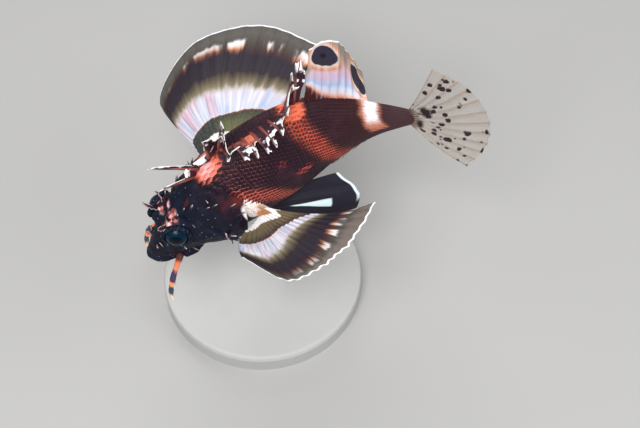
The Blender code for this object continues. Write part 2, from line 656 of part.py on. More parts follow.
def tentacle(side_name, side):
    """Barbel of the upper jaw, hanging down, a little flattened and knobbed along its edge."""
    s, out, up = TENTACLE_ROOT
    root = place(s, side * (out - 0.022), up + 0.006)
    start = place(s, side * (out + 0.004), up - 0.002)
    rows = 9
    t = np.linspace(0, 1, rows)[:, None]
    fall = np.array([-0.30, -0.20 * side, -0.93]) * TENTACLE_LENGTH * STANDARD_LENGTH
    sway = np.array([-0.10, -0.10 * side, 0.0]) * TENTACLE_LENGTH * STANDARD_LENGTH
    path = np.concatenate([[root], start + fall * t + sway * np.sin(np.pi * t)])
    swell = TENTACLE_RADIUS * STANDARD_LENGTH * (1 - 0.35 * t[:, 0])
    swell *= 1 + 0.14 * np.cos(5 * np.pi * t[:, 0])
    radii = np.concatenate([[swell[0]], swell])
    radii[-1] *= 0.35
    made = tube("tentacle_" + side_name, path, radii, 8, flatten=0.72, side_axis=(1.0, 0.2, 0.1))
    made.data.materials.append(material("tentacle_" + side_name, (0.55, 0.18, 0.08), 0.5))
    combine(made, [grown_body()] + jaws(GAP), "DIFFERENCE")


tentacle("left", 1)
tentacle("right", -1)

# Stand: a round base and one rod up to the belly.
stand_metal = material("stand_base_paint", (0.46, 0.46, 0.45), 0.5)
disc = bmesh.new()
bmesh.ops.create_cone(disc, cap_ends=True, segments=48, radius1=BASE_RADIUS, radius2=BASE_RADIUS,
                      depth=BASE_THICKNESS)
rim = [e for e in disc.edges if min(v.co.z for v in e.verts) > 0]
bmesh.ops.bevel(disc, geom=rim, offset=BASE_BEVEL, segments=2, profile=0.5, affect="EDGES", material=-1)
disc_mesh = bpy.data.meshes.new("stand_base")
disc.to_mesh(disc_mesh)
disc.free()
stand_base = bpy.data.objects.new("stand_base", disc_mesh)
bpy.context.scene.collection.objects.link(stand_base)
stand_base.location.z = BASE_THICKNESS / 2
disc_mesh.materials.append(stand_metal)

rod_top = place(ROD_STATION)
rod_path = [np.array([rod_top[0], rod_top[1], z]) for z in (BASE_THICKNESS + GAP, rod_top[2])]
rod = tube("stand_rod", rod_path, [ROD_RADIUS, ROD_RADIUS], 16, side_axis=(1.0, 0.0, 0.0))
rod.data.materials.append(material("stand_rod_steel", (0.35, 0.35, 0.36), 0.35, 1.0))
combine(rod, [grown_body()], "DIFFERENCE")
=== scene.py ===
import bmesh
import bpy
import numpy as np
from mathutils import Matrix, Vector, noise


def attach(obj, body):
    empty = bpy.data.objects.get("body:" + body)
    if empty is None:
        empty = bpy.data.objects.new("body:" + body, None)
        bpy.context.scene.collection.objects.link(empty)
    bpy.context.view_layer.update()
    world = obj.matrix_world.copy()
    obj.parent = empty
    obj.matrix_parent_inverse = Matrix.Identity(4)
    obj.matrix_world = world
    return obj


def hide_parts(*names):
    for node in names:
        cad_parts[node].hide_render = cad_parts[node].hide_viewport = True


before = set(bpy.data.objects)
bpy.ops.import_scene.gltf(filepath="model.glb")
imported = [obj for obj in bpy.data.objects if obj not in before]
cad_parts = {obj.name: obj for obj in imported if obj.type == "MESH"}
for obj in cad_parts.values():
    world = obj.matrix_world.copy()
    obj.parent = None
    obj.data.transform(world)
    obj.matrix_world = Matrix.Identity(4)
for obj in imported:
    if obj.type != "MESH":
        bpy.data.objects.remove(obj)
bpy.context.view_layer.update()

# Skin
# One soft painted skin runs from the snout to the root of the tail fin, with the orbits, gill covers, jaws
# and nostrils raised in it. It is cast in one piece, so no seam shows between head, trunk and tail.
STANDARD_LENGTH = 0.080
LIFT = 0.056
REFERENCE_STATION = 0.45
COAT_DEPTH = 0.0016
POSE = ((-0.1, 8, -35, -7), (0.15, 7, -34, -6), (0.3, 5, -31, -3), (0.45, 6, -25, 3), (0.6, 6, -15, 8),
        (0.75, -5, -11, 8), (0.9, -18, -10, 6), (1.0, -26, -10, 4), (1.35, -34, -8, 2))
PROFILE = ((-0.012, 0.006, 0.018, 0.01), (0.0, 0.024, 0.044, 0.028), (0.03, 0.05, 0.068, 0.045),
           (0.07, 0.08, 0.088, 0.059), (0.11, 0.108, 0.104, 0.071), (0.16, 0.136, 0.12, 0.084),
           (0.22, 0.158, 0.136, 0.099), (0.3, 0.186, 0.152, 0.114), (0.4, 0.204, 0.166, 0.116),
           (0.5, 0.204, 0.166, 0.106), (0.6, 0.192, 0.156, 0.091), (0.7, 0.168, 0.126, 0.07),
           (0.8, 0.122, 0.09, 0.048), (0.88, 0.078, 0.062, 0.033), (0.95, 0.05, 0.044, 0.022),
           (1.0, 0.032, 0.029, 0.013), (1.02, 0.024, 0.021, 0.008))
SKIN_LENGTHS = 300
SKIN_TURNS = 224
SKIN_STATIONS = ((0.0, -0.012), (0.03, -0.012), (0.53, 0.385), (0.985, 1.018), (1.0, 1.018))
SNOUT_ROUNDING = 0.004
GILL_COVER_EDGE = 0.372
GILL_COVER_RISE = 0.012
CHEEK_FLARE = 0.024
EYE_PLACE = (0.152, 0.051, 0.092)
EYE_RADIUS = 0.046
EYE_AIM = (0.3, 0.86, 0.4)
ORBIT_SPREAD = 1.18
ORBIT_HEIGHT = 0.62
MOUTH_LENGTH = 0.135
MOUTH_FRONT = -0.006
MOUTH_DROP = 0.070
NOSTRILS = ((0.068, 52, 0.0052), (0.098, 47, 0.0036))
LUMPS_PER_METRE = 620
LUMP_HEIGHT = 0.00012
WELD = 0.000002


def smooth(keys, at):
    """Smooth curve through rows of (position, values...), held level past both ends."""
    rows = np.array(keys, float)
    x, y = rows[:, 0], rows[:, 1:]
    slope = np.gradient(y, x, axis=0)
    at = np.clip(np.asarray(at, float), x[0], x[-1])
    i = np.clip(np.searchsorted(x, at, side="right") - 1, 0, len(x) - 2)
    h = (x[i + 1] - x[i])[..., None]
    t = (at - x[i])[..., None] / h
    start = (1 + 2 * t) * (1 - t) ** 2 * y[i] + t * (1 - t) ** 2 * h * slope[i]
    end = t * t * (3 - 2 * t) * y[i + 1] + t * t * (t - 1) * h * slope[i + 1]
    return start + end


def unit(vector):
    return vector / np.maximum(np.linalg.norm(vector, axis=-1, keepdims=True), 1e-12)


def step(value, low, high):
    """Smooth rise from 0 at low to 1 at high."""
    share = np.clip((value - low) / (high - low), 0, 1)
    return share * share * (3 - 2 * share)


def hump(distance, width):
    return np.exp(-(distance / width) ** 2)


stations = np.linspace(-0.10, 1.35, 291)
yaw, pitch, roll = np.radians(smooth(POSE, stations)).T
forward = np.stack([-np.cos(yaw) * np.cos(pitch), -np.sin(yaw) * np.cos(pitch), np.sin(pitch)], 1)
level_left = np.stack([np.sin(yaw), -np.cos(yaw), 0 * yaw], 1)
level_up = np.cross(level_left, -forward)
leftward = level_left * np.cos(roll)[:, None] + level_up * np.sin(roll)[:, None]
upward = level_up * np.cos(roll)[:, None] - level_left * np.sin(roll)[:, None]
backbone = np.concatenate([np.zeros((1, 3)), np.cumsum(-(forward[1:] + forward[:-1]) / 2, axis=0)])
backbone = backbone * (stations[1] - stations[0]) * STANDARD_LENGTH


def along(values, s):
    return np.stack([np.interp(s, stations, values[:, k]) for k in range(3)], axis=-1)


backbone = backbone - along(backbone, REFERENCE_STATION) + np.array([0.0, 0.0, LIFT])


def place(s, left=0.0, up=0.0):
    """World point of a place on the fish."""
    side = np.asarray(left, float)[..., None] * STANDARD_LENGTH
    rise = np.asarray(up, float)[..., None] * STANDARD_LENGTH
    return along(backbone, s) + unit(along(leftward, s)) * side + unit(along(upward, s)) * rise


def offset(s, back, left, up):
    """World vector of an offset in the fish's own axes at a station."""
    parts = [np.asarray(value, float)[..., None] for value in (back, left, up)]
    moved = -along(forward, s) * parts[0] + along(leftward, s) * parts[1] + along(upward, s) * parts[2]
    return moved * STANDARD_LENGTH


def body_section(s, turn, grow=0.0):
    """Local (left, up) of the flesh at a station, for angles around it from the left side upward."""
    rows = smooth(PROFILE, s)
    top, bottom, wide = rows[..., 0], rows[..., 1], rows[..., 2]
    rise = np.sin(turn)
    keel = 1 - 0.20 * np.clip(rise, 0, 1) ** 2 - 0.06 * np.clip(-rise, 0, 1) ** 2
    side = wide * np.sign(np.cos(turn)) * np.abs(np.cos(turn)) ** 0.92 * keel + grow * np.cos(turn)
    return side, (top - bottom) / 2 + ((top + bottom) / 2 + grow) * rise


def folded(turn):
    """Angle in degrees over the flank, alike on both sides: 90 on the back and -90 on the belly."""
    degrees = np.degrees(turn)
    return np.where(degrees <= 90, degrees, 180 - degrees)


def head_relief(s, side, up, angle):
    """Height of the head's raised and sunk forms over the plain flesh, in standard lengths."""
    flank = np.abs(side)
    t = np.clip((s - MOUTH_FRONT) / MOUTH_LENGTH, 0, 1)
    off = up + 0.008 + MOUTH_DROP * t ** (1.3 / 1.7)
    near = 1 - step(s, 0.112, 0.138)
    lips = 0.0095 * hump(off - 0.0135, 0.0075) + 0.0105 * hump(off + 0.0140, 0.0080)
    rise = near * (lips - 0.0150 * hump(off, 0.0034))
    share = np.clip(((s - 0.088) * 0.040 - (up + 0.042) * 0.036) / (0.040 ** 2 + 0.036 ** 2), 0, 1)
    jaw_end = np.hypot(s - 0.088 - 0.040 * share, up + 0.042 + 0.036 * share)
    rise += 0.0105 * np.exp(-(jaw_end / 0.0125) ** 4) - 0.0030 * hump(jaw_end - 0.0185, 0.0035)
    below_eye = 6 - 118 * (s - 0.160)
    rise += 0.0065 * hump(angle - below_eye, 5) * step(s, 0.135, 0.17) * (1 - step(s, 0.25, 0.28))
    rise -= 0.0030 * hump(angle - below_eye + 11, 4) * step(s, 0.15, 0.19) * (1 - step(s, 0.24, 0.27))
    cheek_edge = s - 0.262 + 0.020 * ((angle + 20) / 40) ** 2
    cheek = step(angle, -72, -60) * (1 - step(angle, 8, 24))
    rise += cheek * (0.0045 * hump(cheek_edge + 0.007, 0.008) - 0.0055 * hump(cheek_edge - 0.005, 0.004))
    cover_edge = s - GILL_COVER_EDGE + 0.034 * ((angle - 4) / 64) ** 2 - 0.010 * hump(angle - 14, 7)
    cover_edge = cover_edge + 0.045 * step(-angle, -10, 32)
    cover = np.exp(-((np.sin(np.radians(angle)) + 0.15) / 0.62) ** 2)
    rise += GILL_COVER_RISE * cover * step(s, 0.20, 0.32) * (1 - step(cover_edge, -0.002, 0.003))
    rise += CHEEK_FLARE * hump(angle + 34, 32) * step(s, 0.12, 0.27) * (1 - step(cover_edge, -0.010, 0.003))
    rise -= 0.0060 * cover * hump(cover_edge - 0.007, 0.005)
    rise += 0.0022 * cover * hump(cover_edge + 0.004, 0.005)
    for fold in range(4):
        gap = angle + 58 + 7 * fold
        rise -= 0.0028 * hump(gap, 1.6) * step(s, 0.17, 0.22) * (1 - step(s, 0.33, 0.36))
    throat = hump(angle + 66, 5) * step(s, 0.03, 0.06) * (1 - step(s, 0.18, 0.24))
    rise -= 0.0045 * throat
    brow = (up > 0) * step(s, 0.100, 0.125) * (1 - step(s, 0.195, 0.225))
    rise += 0.0085 * hump(flank - 0.038, 0.009) * brow - 0.0060 * hump(side, 0.018) * brow
    nape = (up > 0) * step(s, 0.205, 0.225) * (1 - step(s, 0.265, 0.295))
    rise += 0.0055 * hump(flank - 0.052, 0.011) * nape - 0.0020 * hump(side, 0.02) * nape
    for at, high, radius in NOSTRILS:
        spot = body_section(np.array(at), np.radians(high))
        away = np.sqrt((s - at) ** 2 + (flank - spot[0]) ** 2 + (up - spot[1]) ** 2)
        rise += 0.0045 * hump(away - radius * 1.6, radius * 0.55) - 0.0120 * hump(away, radius * 0.8)
    rise += 0.0050 * hump(s - 0.392, 0.020) * hump(up + 0.048, 0.065) * (angle < 20)
    return rise


def eye_axes(side):
    """Centre of an eye and the way that it looks; side is 1 for the left one and -1 for the right one."""
    s, out, up = EYE_PLACE
    return place(s, side * out, up), unit(offset(s, -EYE_AIM[0], side * EYE_AIM[1], EYE_AIM[2]))


def raise_orbits(points, side_out):
    """Lift the skin round each eye to the foot of its lid."""
    radius = EYE_RADIUS * STANDARD_LENGTH
    wide = radius * ORBIT_SPREAD
    for side in (1, -1):
        centre, aim = eye_axes(side)
        away = points - centre
        height = away @ aim
        across = np.linalg.norm(away - height[..., None] * aim, axis=-1)
        dome = radius * ORBIT_HEIGHT * np.sqrt(np.clip(1 - (across / wide) ** 2, 0, 1))
        target = dome - np.clip(across - wide, 0, None) * 5
        soft = 0.10 * radius
        lifted = (height + target + np.sqrt((height - target) ** 2 + soft ** 2)) / 2
        share = step(side * side_out, 0.000, 0.022) * step(height, -2.2 * radius, -1.6 * radius)
        share = share * (across < 1.7 * radius)
        points = points + (share * (lifted - height))[..., None] * aim
    return points


def grid_normals(points):
    return unit(np.cross(np.gradient(points, axis=1), np.gradient(points, axis=0)))


def outward_normals(points, middle):
    """Normals of a grid of points that lies round a middle, turned away from it."""
    normals = grid_normals(points)
    inward = np.sum(normals * (points - middle), axis=-1, keepdims=True) < 0
    return normals * np.where(inward, -1.0, 1.0)


def skin_layout(u, v):
    """Station, angle round the body, and how far the section is drawn in to close the ends."""
    s = np.interp(u, *np.array(SKIN_STATIONS).T)
    front = np.clip(u / SKIN_STATIONS[1][0], 0, 1) * np.pi / 2
    rear = np.clip((1 - u) / (1 - SKIN_STATIONS[3][0]), 0, 1) * np.pi / 2
    return s - SNOUT_ROUNDING * np.cos(front), np.radians(360 * v - 90), np.sin(front) * np.sin(rear)


def skin_points(u, v):
    """World points of the skin for a full grid of u along the body and v around it."""
    s, turn, drawn = skin_layout(u, v)
    side, up = body_section(s, turn, -COAT_DEPTH)
    middle = body_section(s, np.zeros_like(turn), 0)[1]
    side, up = side * drawn, middle + (up - middle) * drawn
    shape = (SKIN_TURNS + 1, SKIN_LENGTHS + 1)
    plain = place(s, side, up).reshape(*shape, 3)
    outward = outward_normals(plain, place(s, 0.0 * side, middle).reshape(*shape, 3))
    rise = head_relief(s, side, up, folded(turn)).reshape(shape)
    points = plain + outward * (rise * STANDARD_LENGTH)[..., None]
    points = raise_orbits(points, side.reshape(shape))
    flesh = points.reshape(-1, 3)
    lumps = np.array([noise.noise(Vector(point) * LUMPS_PER_METRE) for point in flesh])
    lumps *= (1 - step(s, 0.30, 0.40)) * drawn * LUMP_HEIGHT
    return flesh + outward.reshape(-1, 3) * lumps[:, None]


def surface(columns, rows, shape, maps):
    """Grid of columns by rows quads laid through shape(u, v), with a UV map from each named function."""
    shell = bmesh.new()
    bmesh.ops.create_grid(shell, x_segments=columns, y_segments=rows, size=1.0)
    flat = np.array([vertex.co for vertex in shell.verts])
    u, v = (flat[:, 0] + 1) / 2, (flat[:, 1] + 1) / 2
    for vertex, point in zip(shell.verts, shape(u, v).tolist()):
        vertex.co = point
    for name, function in maps.items():
        layer = shell.loops.layers.uv.new(name)
        spots = np.stack(function(u, v), axis=-1).tolist()
        for face in shell.faces:
            for loop in face.loops:
                loop[layer].uv = spots[loop.vert.index]
    return shell


def finished(name, shell, look):
    """Object at the origin from a bmesh, with doubles merged, faces turned outward and one material."""
    bmesh.ops.remove_doubles(shell, verts=shell.verts, dist=WELD)
    bmesh.ops.recalc_face_normals(shell, faces=shell.faces)
    mesh = bpy.data.meshes.new(name)
    shell.to_mesh(mesh)
    shell.free()
    mesh.materials.append(look)
    mesh.shade_smooth()
    piece = bpy.data.objects.new(name, mesh)
    bpy.context.scene.collection.objects.link(piece)
    return piece


class Field:
    """A number, vector or colour that varies over a surface: one output of a shader node."""

    def __init__(self, socket):
        self.socket = socket
        self.tree = socket.id_data

    def __add__(self, other):
        return maths("ADD", self, other)

    def __sub__(self, other):
        return maths("SUBTRACT", self, other)

    def __rsub__(self, other):
        return maths("SUBTRACT", other, self)

    def __mul__(self, other):
        return maths("MULTIPLY", self, other)

    def __rtruediv__(self, other):
        return maths("DIVIDE", other, self)

    def __gt__(self, other):
        return maths("GREATER_THAN", self, other)

    def __abs__(self):
        return maths("ABSOLUTE", self)


class Outputs:
    """The outputs of a shader node, read as fields by their index or name."""

    def __init__(self, node):
        self.node = node

    def __getitem__(self, which):
        return Field(self.node.outputs[which])


def feed(node, socket, value):
    """Link a field to an input of a shader node, or set the input to a constant."""
    if isinstance(value, Field):
        node.id_data.links.new(value.socket, node.inputs[socket])
    else:
        node.inputs[socket].default_value = value


def add(tree, kind, sockets=None, **settings):
    """Add a shader node with its settings and inputs, and give its outputs."""
    made = tree.nodes.new("ShaderNode" + kind)
    for name, value in settings.items():
        setattr(made, name, value)
    for socket, value in (sockets or {}).items():
        feed(made, socket, value)
    return Outputs(made)


def maths(operation, *terms):
    tree = next(term.tree for term in terms if isinstance(term, Field))
    return add(tree, "Math", dict(enumerate(terms)), operation=operation)[0]


def scaled(value, factor, shift):
    """A value times a factor, plus a shift."""
    return maths("MULTIPLY_ADD", value, factor, shift)


def most(first, *others):
    """The largest of several values."""
    for other in others:
        first = maths("MAXIMUM", first, other)
    return first


def fade(value, low, high):
    """Smooth rise from 0 at low to 1 at high, or a fall where low is the larger."""
    sockets = {"Value": value, "From Min": low, "From Max": high}
    return add(value.tree, "MapRange", sockets, interpolation_type="SMOOTHSTEP")[0]


def mixed(share, *colours):
    """The first of two colours turned to the second by a share."""
    a, b = [(*colour, 1.0) if isinstance(colour, tuple) else colour for colour in colours]
    return add(share.tree, "Mix", {0: share, 6: a, 7: b}, data_type="RGBA")[2]


def ramp(value, stops):
    """Colours along a value, from rows of (position, red, green, blue)."""
    made = add(value.tree, "ValToRGB", {0: value})
    elements = made.node.color_ramp.elements
    for index, (position, *colour) in enumerate(stops):
        element = elements[index] if index < 2 else elements.new(position)
        element.position = position
        element.color = (*colour, 1.0)
    return made[0]


def curve(value, keys):
    """Smooth curve of a value through (position, height) keys that run from 0 to 1."""
    made = add(value.tree, "FloatCurve", {"Value": value})
    points = made.node.mapping.curves[0].points
    for index, (position, height) in enumerate(keys):
        if index < 2:
            points[index].location = (position, height)
        else:
            points.new(position, height)
    made.node.mapping.update()
    return made[0]


def parts(value):
    """The three parts of a vector or colour."""
    split = add(value.tree, "SeparateXYZ", {0: value})
    return [split[index] for index in range(3)]


def vector(*values):
    tree = next(value.tree for value in values if isinstance(value, Field))
    return add(tree, "CombineXYZ", dict(enumerate(values)))[0]


def arrows(operation, a, b):
    """Sum, difference or the like of two vectors, part by part."""
    return add(a.tree, "VectorMath", {0: a, 1: b}, operation=operation)[0]


def clouds(solid, scale, detail):
    """Noise over a place, from 0 to 1 round a half."""
    return add(solid.tree, "TexNoise", {"Vector": solid, "Scale": scale, "Detail": detail})["Fac"]


def cells(solid, scale, feature="F1"):
    """Voronoi cells over a place, which have a Distance and a Color."""
    return add(solid.tree, "TexVoronoi", {"Vector": solid, "Scale": scale}, feature=feature)


def object_place(tree):
    return add(tree, "TexCoord")["Object"]


def new_group(name, inputs, outputs):
    """Node group with named inputs and outputs: the group, its inputs as fields and its end node."""
    group = bpy.data.node_groups.new(name, "ShaderNodeTree")
    kinds = {"f": "NodeSocketFloat", "v": "NodeSocketVector", "c": "NodeSocketColor"}
    for way, sockets in (("INPUT", inputs), ("OUTPUT", outputs)):
        for label, kind in sockets.items():
            group.interface.new_socket(label, in_out=way, socket_type=kinds[kind])
    return group, Outputs(group.nodes.new("NodeGroupInput")), group.nodes.new("NodeGroupOutput")


def make_soft_patch():
    """Oval mask with a soft edge: 1 inside it and 0 outside."""
    inputs = {"Place": "v", "Centre": "v", "Half": "v", "Lean": "f", "Softness": "f"}
    group, start, end = new_group("soft_patch", inputs, {"Mask": "f"})
    moved = arrows("SUBTRACT", start["Place"], start["Centre"])
    turned = add(group, "VectorRotate", {"Vector": moved, "Angle": start["Lean"]}, rotation_type="Z_AXIS")[0]
    flat = arrows("MULTIPLY", arrows("DIVIDE", turned, start["Half"]), (1.0, 1.0, 0.0))
    far = add(group, "VectorMath", {0: flat}, operation="LENGTH")["Value"]
    low = maths("ADD", 1.0, start["Softness"])
    feed(end, "Mask", fade(far, low, 1.0 - start["Softness"]))
    return group


SOFT_PATCH = make_soft_patch()


def patch(spot, centre, half, lean=0.0, soft=0.25):
    sockets = {"Place": spot, "Centre": (*centre, 0.0), "Half": (*half, 1.0), "Lean": lean, "Softness": soft}
    return add(spot.tree, "Group", sockets, node_tree=SOFT_PATCH)[0]


def wavered(spot, size, amount):
    """A place on a piece's own map, pushed about by noise at a size in metres, for uneven edges."""
    sockets = {"Vector": object_place(spot.tree), "Scale": 1 / size, "Detail": 3.0}
    cloud = add(spot.tree, "TexNoise", sockets)["Color"]
    centred = arrows("SUBTRACT", cloud, (0.5, 0.5, 0.5))
    pushed = add(spot.tree, "VectorMath", {0: centred, "Scale": amount}, operation="SCALE")[0]
    return arrows("ADD", spot, pushed)


def make_body_markings():
    """Colours of the body's ground and of the net over it, at (station, height) on the body's own map."""
    group, start, end = new_group("body_markings", {"Place": "v"}, {"Ground": "c", "Net": "c", "Spread": "f"})
    spot = wavered(start["Place"], 0.0035, 0.03)
    s, high = parts(spot)[:2]
    solid = object_place(group)
    cloud = clouds(solid, 260.0, 4.0)
    fine = clouds(solid, 900.0, 3.0)
    dark = ramp(s, ((0.0, 0.008, 0.008, 0.015), (0.24, 0.006, 0.008, 0.019), (0.33, 0.01, 0.007, 0.015),
                    (0.45, 0.019, 0.008, 0.016), (0.66, 0.021, 0.009, 0.016), (0.8, 0.032, 0.011, 0.014),
                    (0.96, 0.062, 0.03, 0.034)))
    murk = mixed(fade(s, 0.27, 0.36), (0.016, 0.021, 0.046), (0.05, 0.018, 0.028))
    dark = mixed(fade(cloud, 0.46, 0.72) * 0.6, dark, murk)

    line = curve(high, ((0.0, 0.77), (0.27, 0.73), (0.37, 0.7), (0.47, 0.682), (0.57, 0.665),
                        (0.67, 0.645), (0.77, 0.634), (1.0, 0.637)))
    off_line = abs(s - line)
    band = fade(off_line, 0.056, 0.01)
    glow = patch(spot, (0.64, 0.912), (0.035, 0.105), soft=0.3)
    nape = patch(spot, (0.37, 0.935), (0.044, 0.085), soft=0.3)
    sweep = curve(high, ((0.0, 0.56), (0.3, 0.5), (0.37, 0.48), (0.467, 0.45), (0.535, 0.42),
                         (0.6, 0.388), (0.7, 0.34), (1.0, 0.2)))
    off_sweep = abs(s - sweep)
    flank = fade(off_sweep, 0.052, 0.01) * fade(high, 0.7, 0.6)
    mark = patch(spot, (0.25, 0.87), (0.012, 0.022), 0.5, 0.9) * 0.6
    shoulder = patch(spot, (0.338, 0.64), (0.012, 0.03), 0.3, 0.9) * 0.5
    slash = patch(start["Place"], (0.594, 0.43), (0.03, 0.013), 0.35, 0.5)
    drop = patch(start["Place"], (0.54, 0.585), (0.013, 0.01), 0.3, 0.9)
    orange = most(band, nape, glow, flank, mark, shoulder)
    bright = most(glow, nape)

    seat = s - curve(high, ((0.0, 0.91), (0.4, 0.887), (0.5, 0.874), (0.6, 0.868), (0.77, 0.865),
                            (1.0, 0.865)))
    saddle = fade(seat, -0.04, -0.016) * fade(seat, 0.044, 0.016) * fade(high, 0.34, 0.42)
    white_share = fade(high, 0.48, 0.66) * fade(seat, -0.026, -0.002) * fade(seat, 0.034, 0.014)
    brow = patch(spot, (0.168, 0.9), (0.033, 0.08), soft=0.35)
    root = patch(start["Place"], (0.386, 0.415), (0.032, 0.15), -0.06, 0.1)
    shoulders = patch(spot, (0.44, 0.7), (0.105, 0.22), soft=0.7)
    meshed = most(shoulders, fade(off_line, 0.15, 0.03) * 0.55)

    warm = mixed(fade(cloud, 0.36, 0.64), (0.42, 0.05, 0.03), (0.72, 0.14, 0.085))
    warm = mixed(bright, warm, mixed(fine, (0.9, 0.11, 0.05), (0.98, 0.27, 0.15)))
    warm = mixed(nape, warm, mixed(fine, (0.74, 0.12, 0.07), (0.86, 0.24, 0.17)))
    warm = mixed(patch(spot, (0.366, 0.945), (0.02, 0.045), soft=0.9), warm, (0.8, 0.44, 0.44))
    warm = mixed(flank, warm, (0.56, 0.12, 0.095))
    cream = mixed(fade(fine, 0.45, 0.7), (0.98, 0.95, 0.95), (0.96, 0.82, 0.77))
    tail_band = mixed(white_share, mixed(fine, (0.28, 0.07, 0.04), (0.76, 0.3, 0.18)),
                      mixed(fine, (0.76, 0.8, 0.88), (0.92, 0.89, 0.9)))
    shade = parts(cells(solid, 950.0, "SMOOTH_F1")["Color"])[0]
    brow_tint = ramp(shade, ((0.3, 0.012, 0.008, 0.018), (0.44, 0.26, 0.06, 0.06),
                             (0.58, 0.52, 0.18, 0.16), (0.72, 0.7, 0.42, 0.42), (0.86, 0.92, 0.82, 0.84)))
    tan = mixed(fine, (0.3, 0.07, 0.036), (0.52, 0.21, 0.1))
    quiet = mixed(meshed, (0.09, 0.036, 0.032), tan)

    ground = mixed(bright, mixed(orange, dark, (0.1, 0.018, 0.016)), warm)
    net = mixed(orange, quiet, warm)
    dashes = most(slash, drop * 0.4)
    ground = mixed(dashes, ground, (0.46, 0.055, 0.048))
    net = mixed(dashes, net, (0.54, 0.085, 0.07))
    for mask, tint in ((saddle, tail_band), (brow, brow_tint), (root, cream)):
        ground = mixed(mask, ground, tint)
        net = mixed(mask, net, tint)
    speck = cells(solid, 1100.0)
    chosen = parts(speck["Color"])[0] > 0.58
    dots = fade(speck["Distance"], 0.24, 0.12) * fade(s, 0.36, 0.3) * chosen * fade(fine, 0.44, 0.58)
    ground = mixed(dots, ground, (0.22, 0.28, 0.4))
    net = mixed(fade(s, 0.33, 0.285), net, ground)
    spread = scaled(bright, 0.6, most(scaled(orange, 0.28, 0.14), meshed * 0.19))
    for output, value in (("Ground", ground), ("Net", net), ("Spread", spread)):
        feed(end, output, value)
    return group


BODY_MARKINGS = make_body_markings()

SHEEN_LEVEL = 0.10


def new_material(name, roughness, coat=0.0, coat_roughness=0.2):
    """A material, its main shader and its object coordinates."""
    made = bpy.data.materials.new(name)
    made.use_nodes = True
    shader = made.node_tree.nodes["Principled BSDF"]
    for socket, value in (("Roughness", roughness), ("Specular IOR Level", SHEEN_LEVEL),
                          ("Coat Weight", coat), ("Coat Roughness", coat_roughness)):
        feed(shader, socket, value)
    return made, shader, object_place(made.node_tree)


def uv_map(made, name):
    """A piece's own map in a material."""
    return add(made.node_tree, "UVMap", uv_map=name)[0]


def relieved(shader, height, strength, depth):
    """Give a shader a fine relief of a height."""
    relief = add(height.tree, "Bump", {"Height": height, "Strength": strength, "Distance": depth})
    feed(shader, "Normal", relief[0])


def make_skin_grain():
    """Height and roughness of the fine pebbled folds of fish skin, at a pebble size in metres."""
    inputs = {"Solid": "v", "Pebble": "f"}
    group, start, end = new_group("skin_grain", inputs, {"Height": "f", "Roughness": "f"})
    scale = 1.0 / start["Pebble"]
    pebbles = cells(start["Solid"], scale, "SMOOTH_F1")
    folds = add(group, "TexNoise", {"Vector": start["Solid"], "Scale": scale * 0.22, "Detail": 5.0,
                                    "Distortion": 0.6})
    feed(end, "Height", folds["Fac"] * 1.4 - pebbles["Distance"])
    feed(end, "Roughness", scaled(folds["Fac"], 0.3, 0.4))
    return group


SKIN_GRAIN = make_skin_grain()


def grained(shader, solid, pebble, strength, depth):
    """Give a shader the fine relief and uneven gloss of fish skin."""
    grain = add(solid.tree, "Group", {"Solid": solid, "Pebble": pebble}, node_tree=SKIN_GRAIN)
    feed(shader, "Roughness", grain["Roughness"])
    relieved(shader, grain["Height"], strength, depth)


def body_marks(made):
    """The body's markings in a material, on its own map."""
    return add(made.node_tree, "Group", {"Place": uv_map(made, "Markings")}, node_tree=BODY_MARKINGS)


def make_skin_paint():
    made, shader, solid = new_material("painted_skin", roughness=0.5, coat=0.02)
    marks = body_marks(made)
    feed(shader, "Base Color", marks["Ground"])
    grained(shader, solid, pebble=0.00042, strength=0.55, depth=0.00016)
    return made


def skin_markings(u, v):
    s, turn = skin_layout(u, v)[:2]
    return s, (folded(turn) + 90) / 180


skin_shell = surface(SKIN_LENGTHS, SKIN_TURNS, skin_points, {"Markings": skin_markings})
skin = finished("skin", skin_shell, make_skin_paint())
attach(skin, "root")
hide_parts("head", "torso", "tail")

# Eyes
# Each eye is a polished glass ball in its socket: a blue-black pupil in a thin dim teal ring, and a dark
# blue-teal iris streaked from the pupil outward. Its brighter teal streaks round the pupil are partly the
# iris's own colour and partly a painted teal sheen.
SIDES = (("left", 1), ("right", -1))
EYE_TURNS = 64
EYE_RINGS = 48
PUPIL = 0.155
IRIS = 0.36


def make_eye_glass():
    made, shader = new_material("eye_glass", roughness=0.22, coat=0.06, coat_roughness=0.06)[:2]
    turn, tilt = parts(uv_map(made, "Gaze"))[:2]
    around = turn * 6.28319
    circle = vector(maths("COSINE", around), maths("SINE", around), tilt)
    streaks = clouds(circle, 9.0, 5.0)
    edge = tilt + (streaks - 0.5) * 0.03
    tint = ramp(edge, ((0.0, 0.001, 0.003, 0.01), (PUPIL, 0.001, 0.004, 0.012),
                       (PUPIL + 0.01, 0.004, 0.015, 0.02), (PUPIL + 0.03, 0.001, 0.015, 0.03),
                       (0.26, 0.001, 0.009, 0.026), (IRIS, 0.001, 0.004, 0.012),
                       (0.5, 0.002, 0.002, 0.005)))
    # Brighter teal streaks round the pupil: partly the iris's own colour, partly a painted teal sheen.
    glow = mixed(fade(streaks, 0.48, 0.66) * fade(edge, PUPIL, 0.21), tint, (0.001, 0.03, 0.055))
    feed(shader, "Base Color", glow)
    return made


EYE_GLASS = make_eye_glass()


def eye_frame(side):
    """Centre of an eye, and the three axes that its ball is turned on, with the last one along its gaze."""
    centre, aim = eye_axes(side)
    across = unit(np.cross(np.array([0.0, 0.0, 1.0]), aim))
    return centre, np.stack([across, np.cross(aim, across), aim])


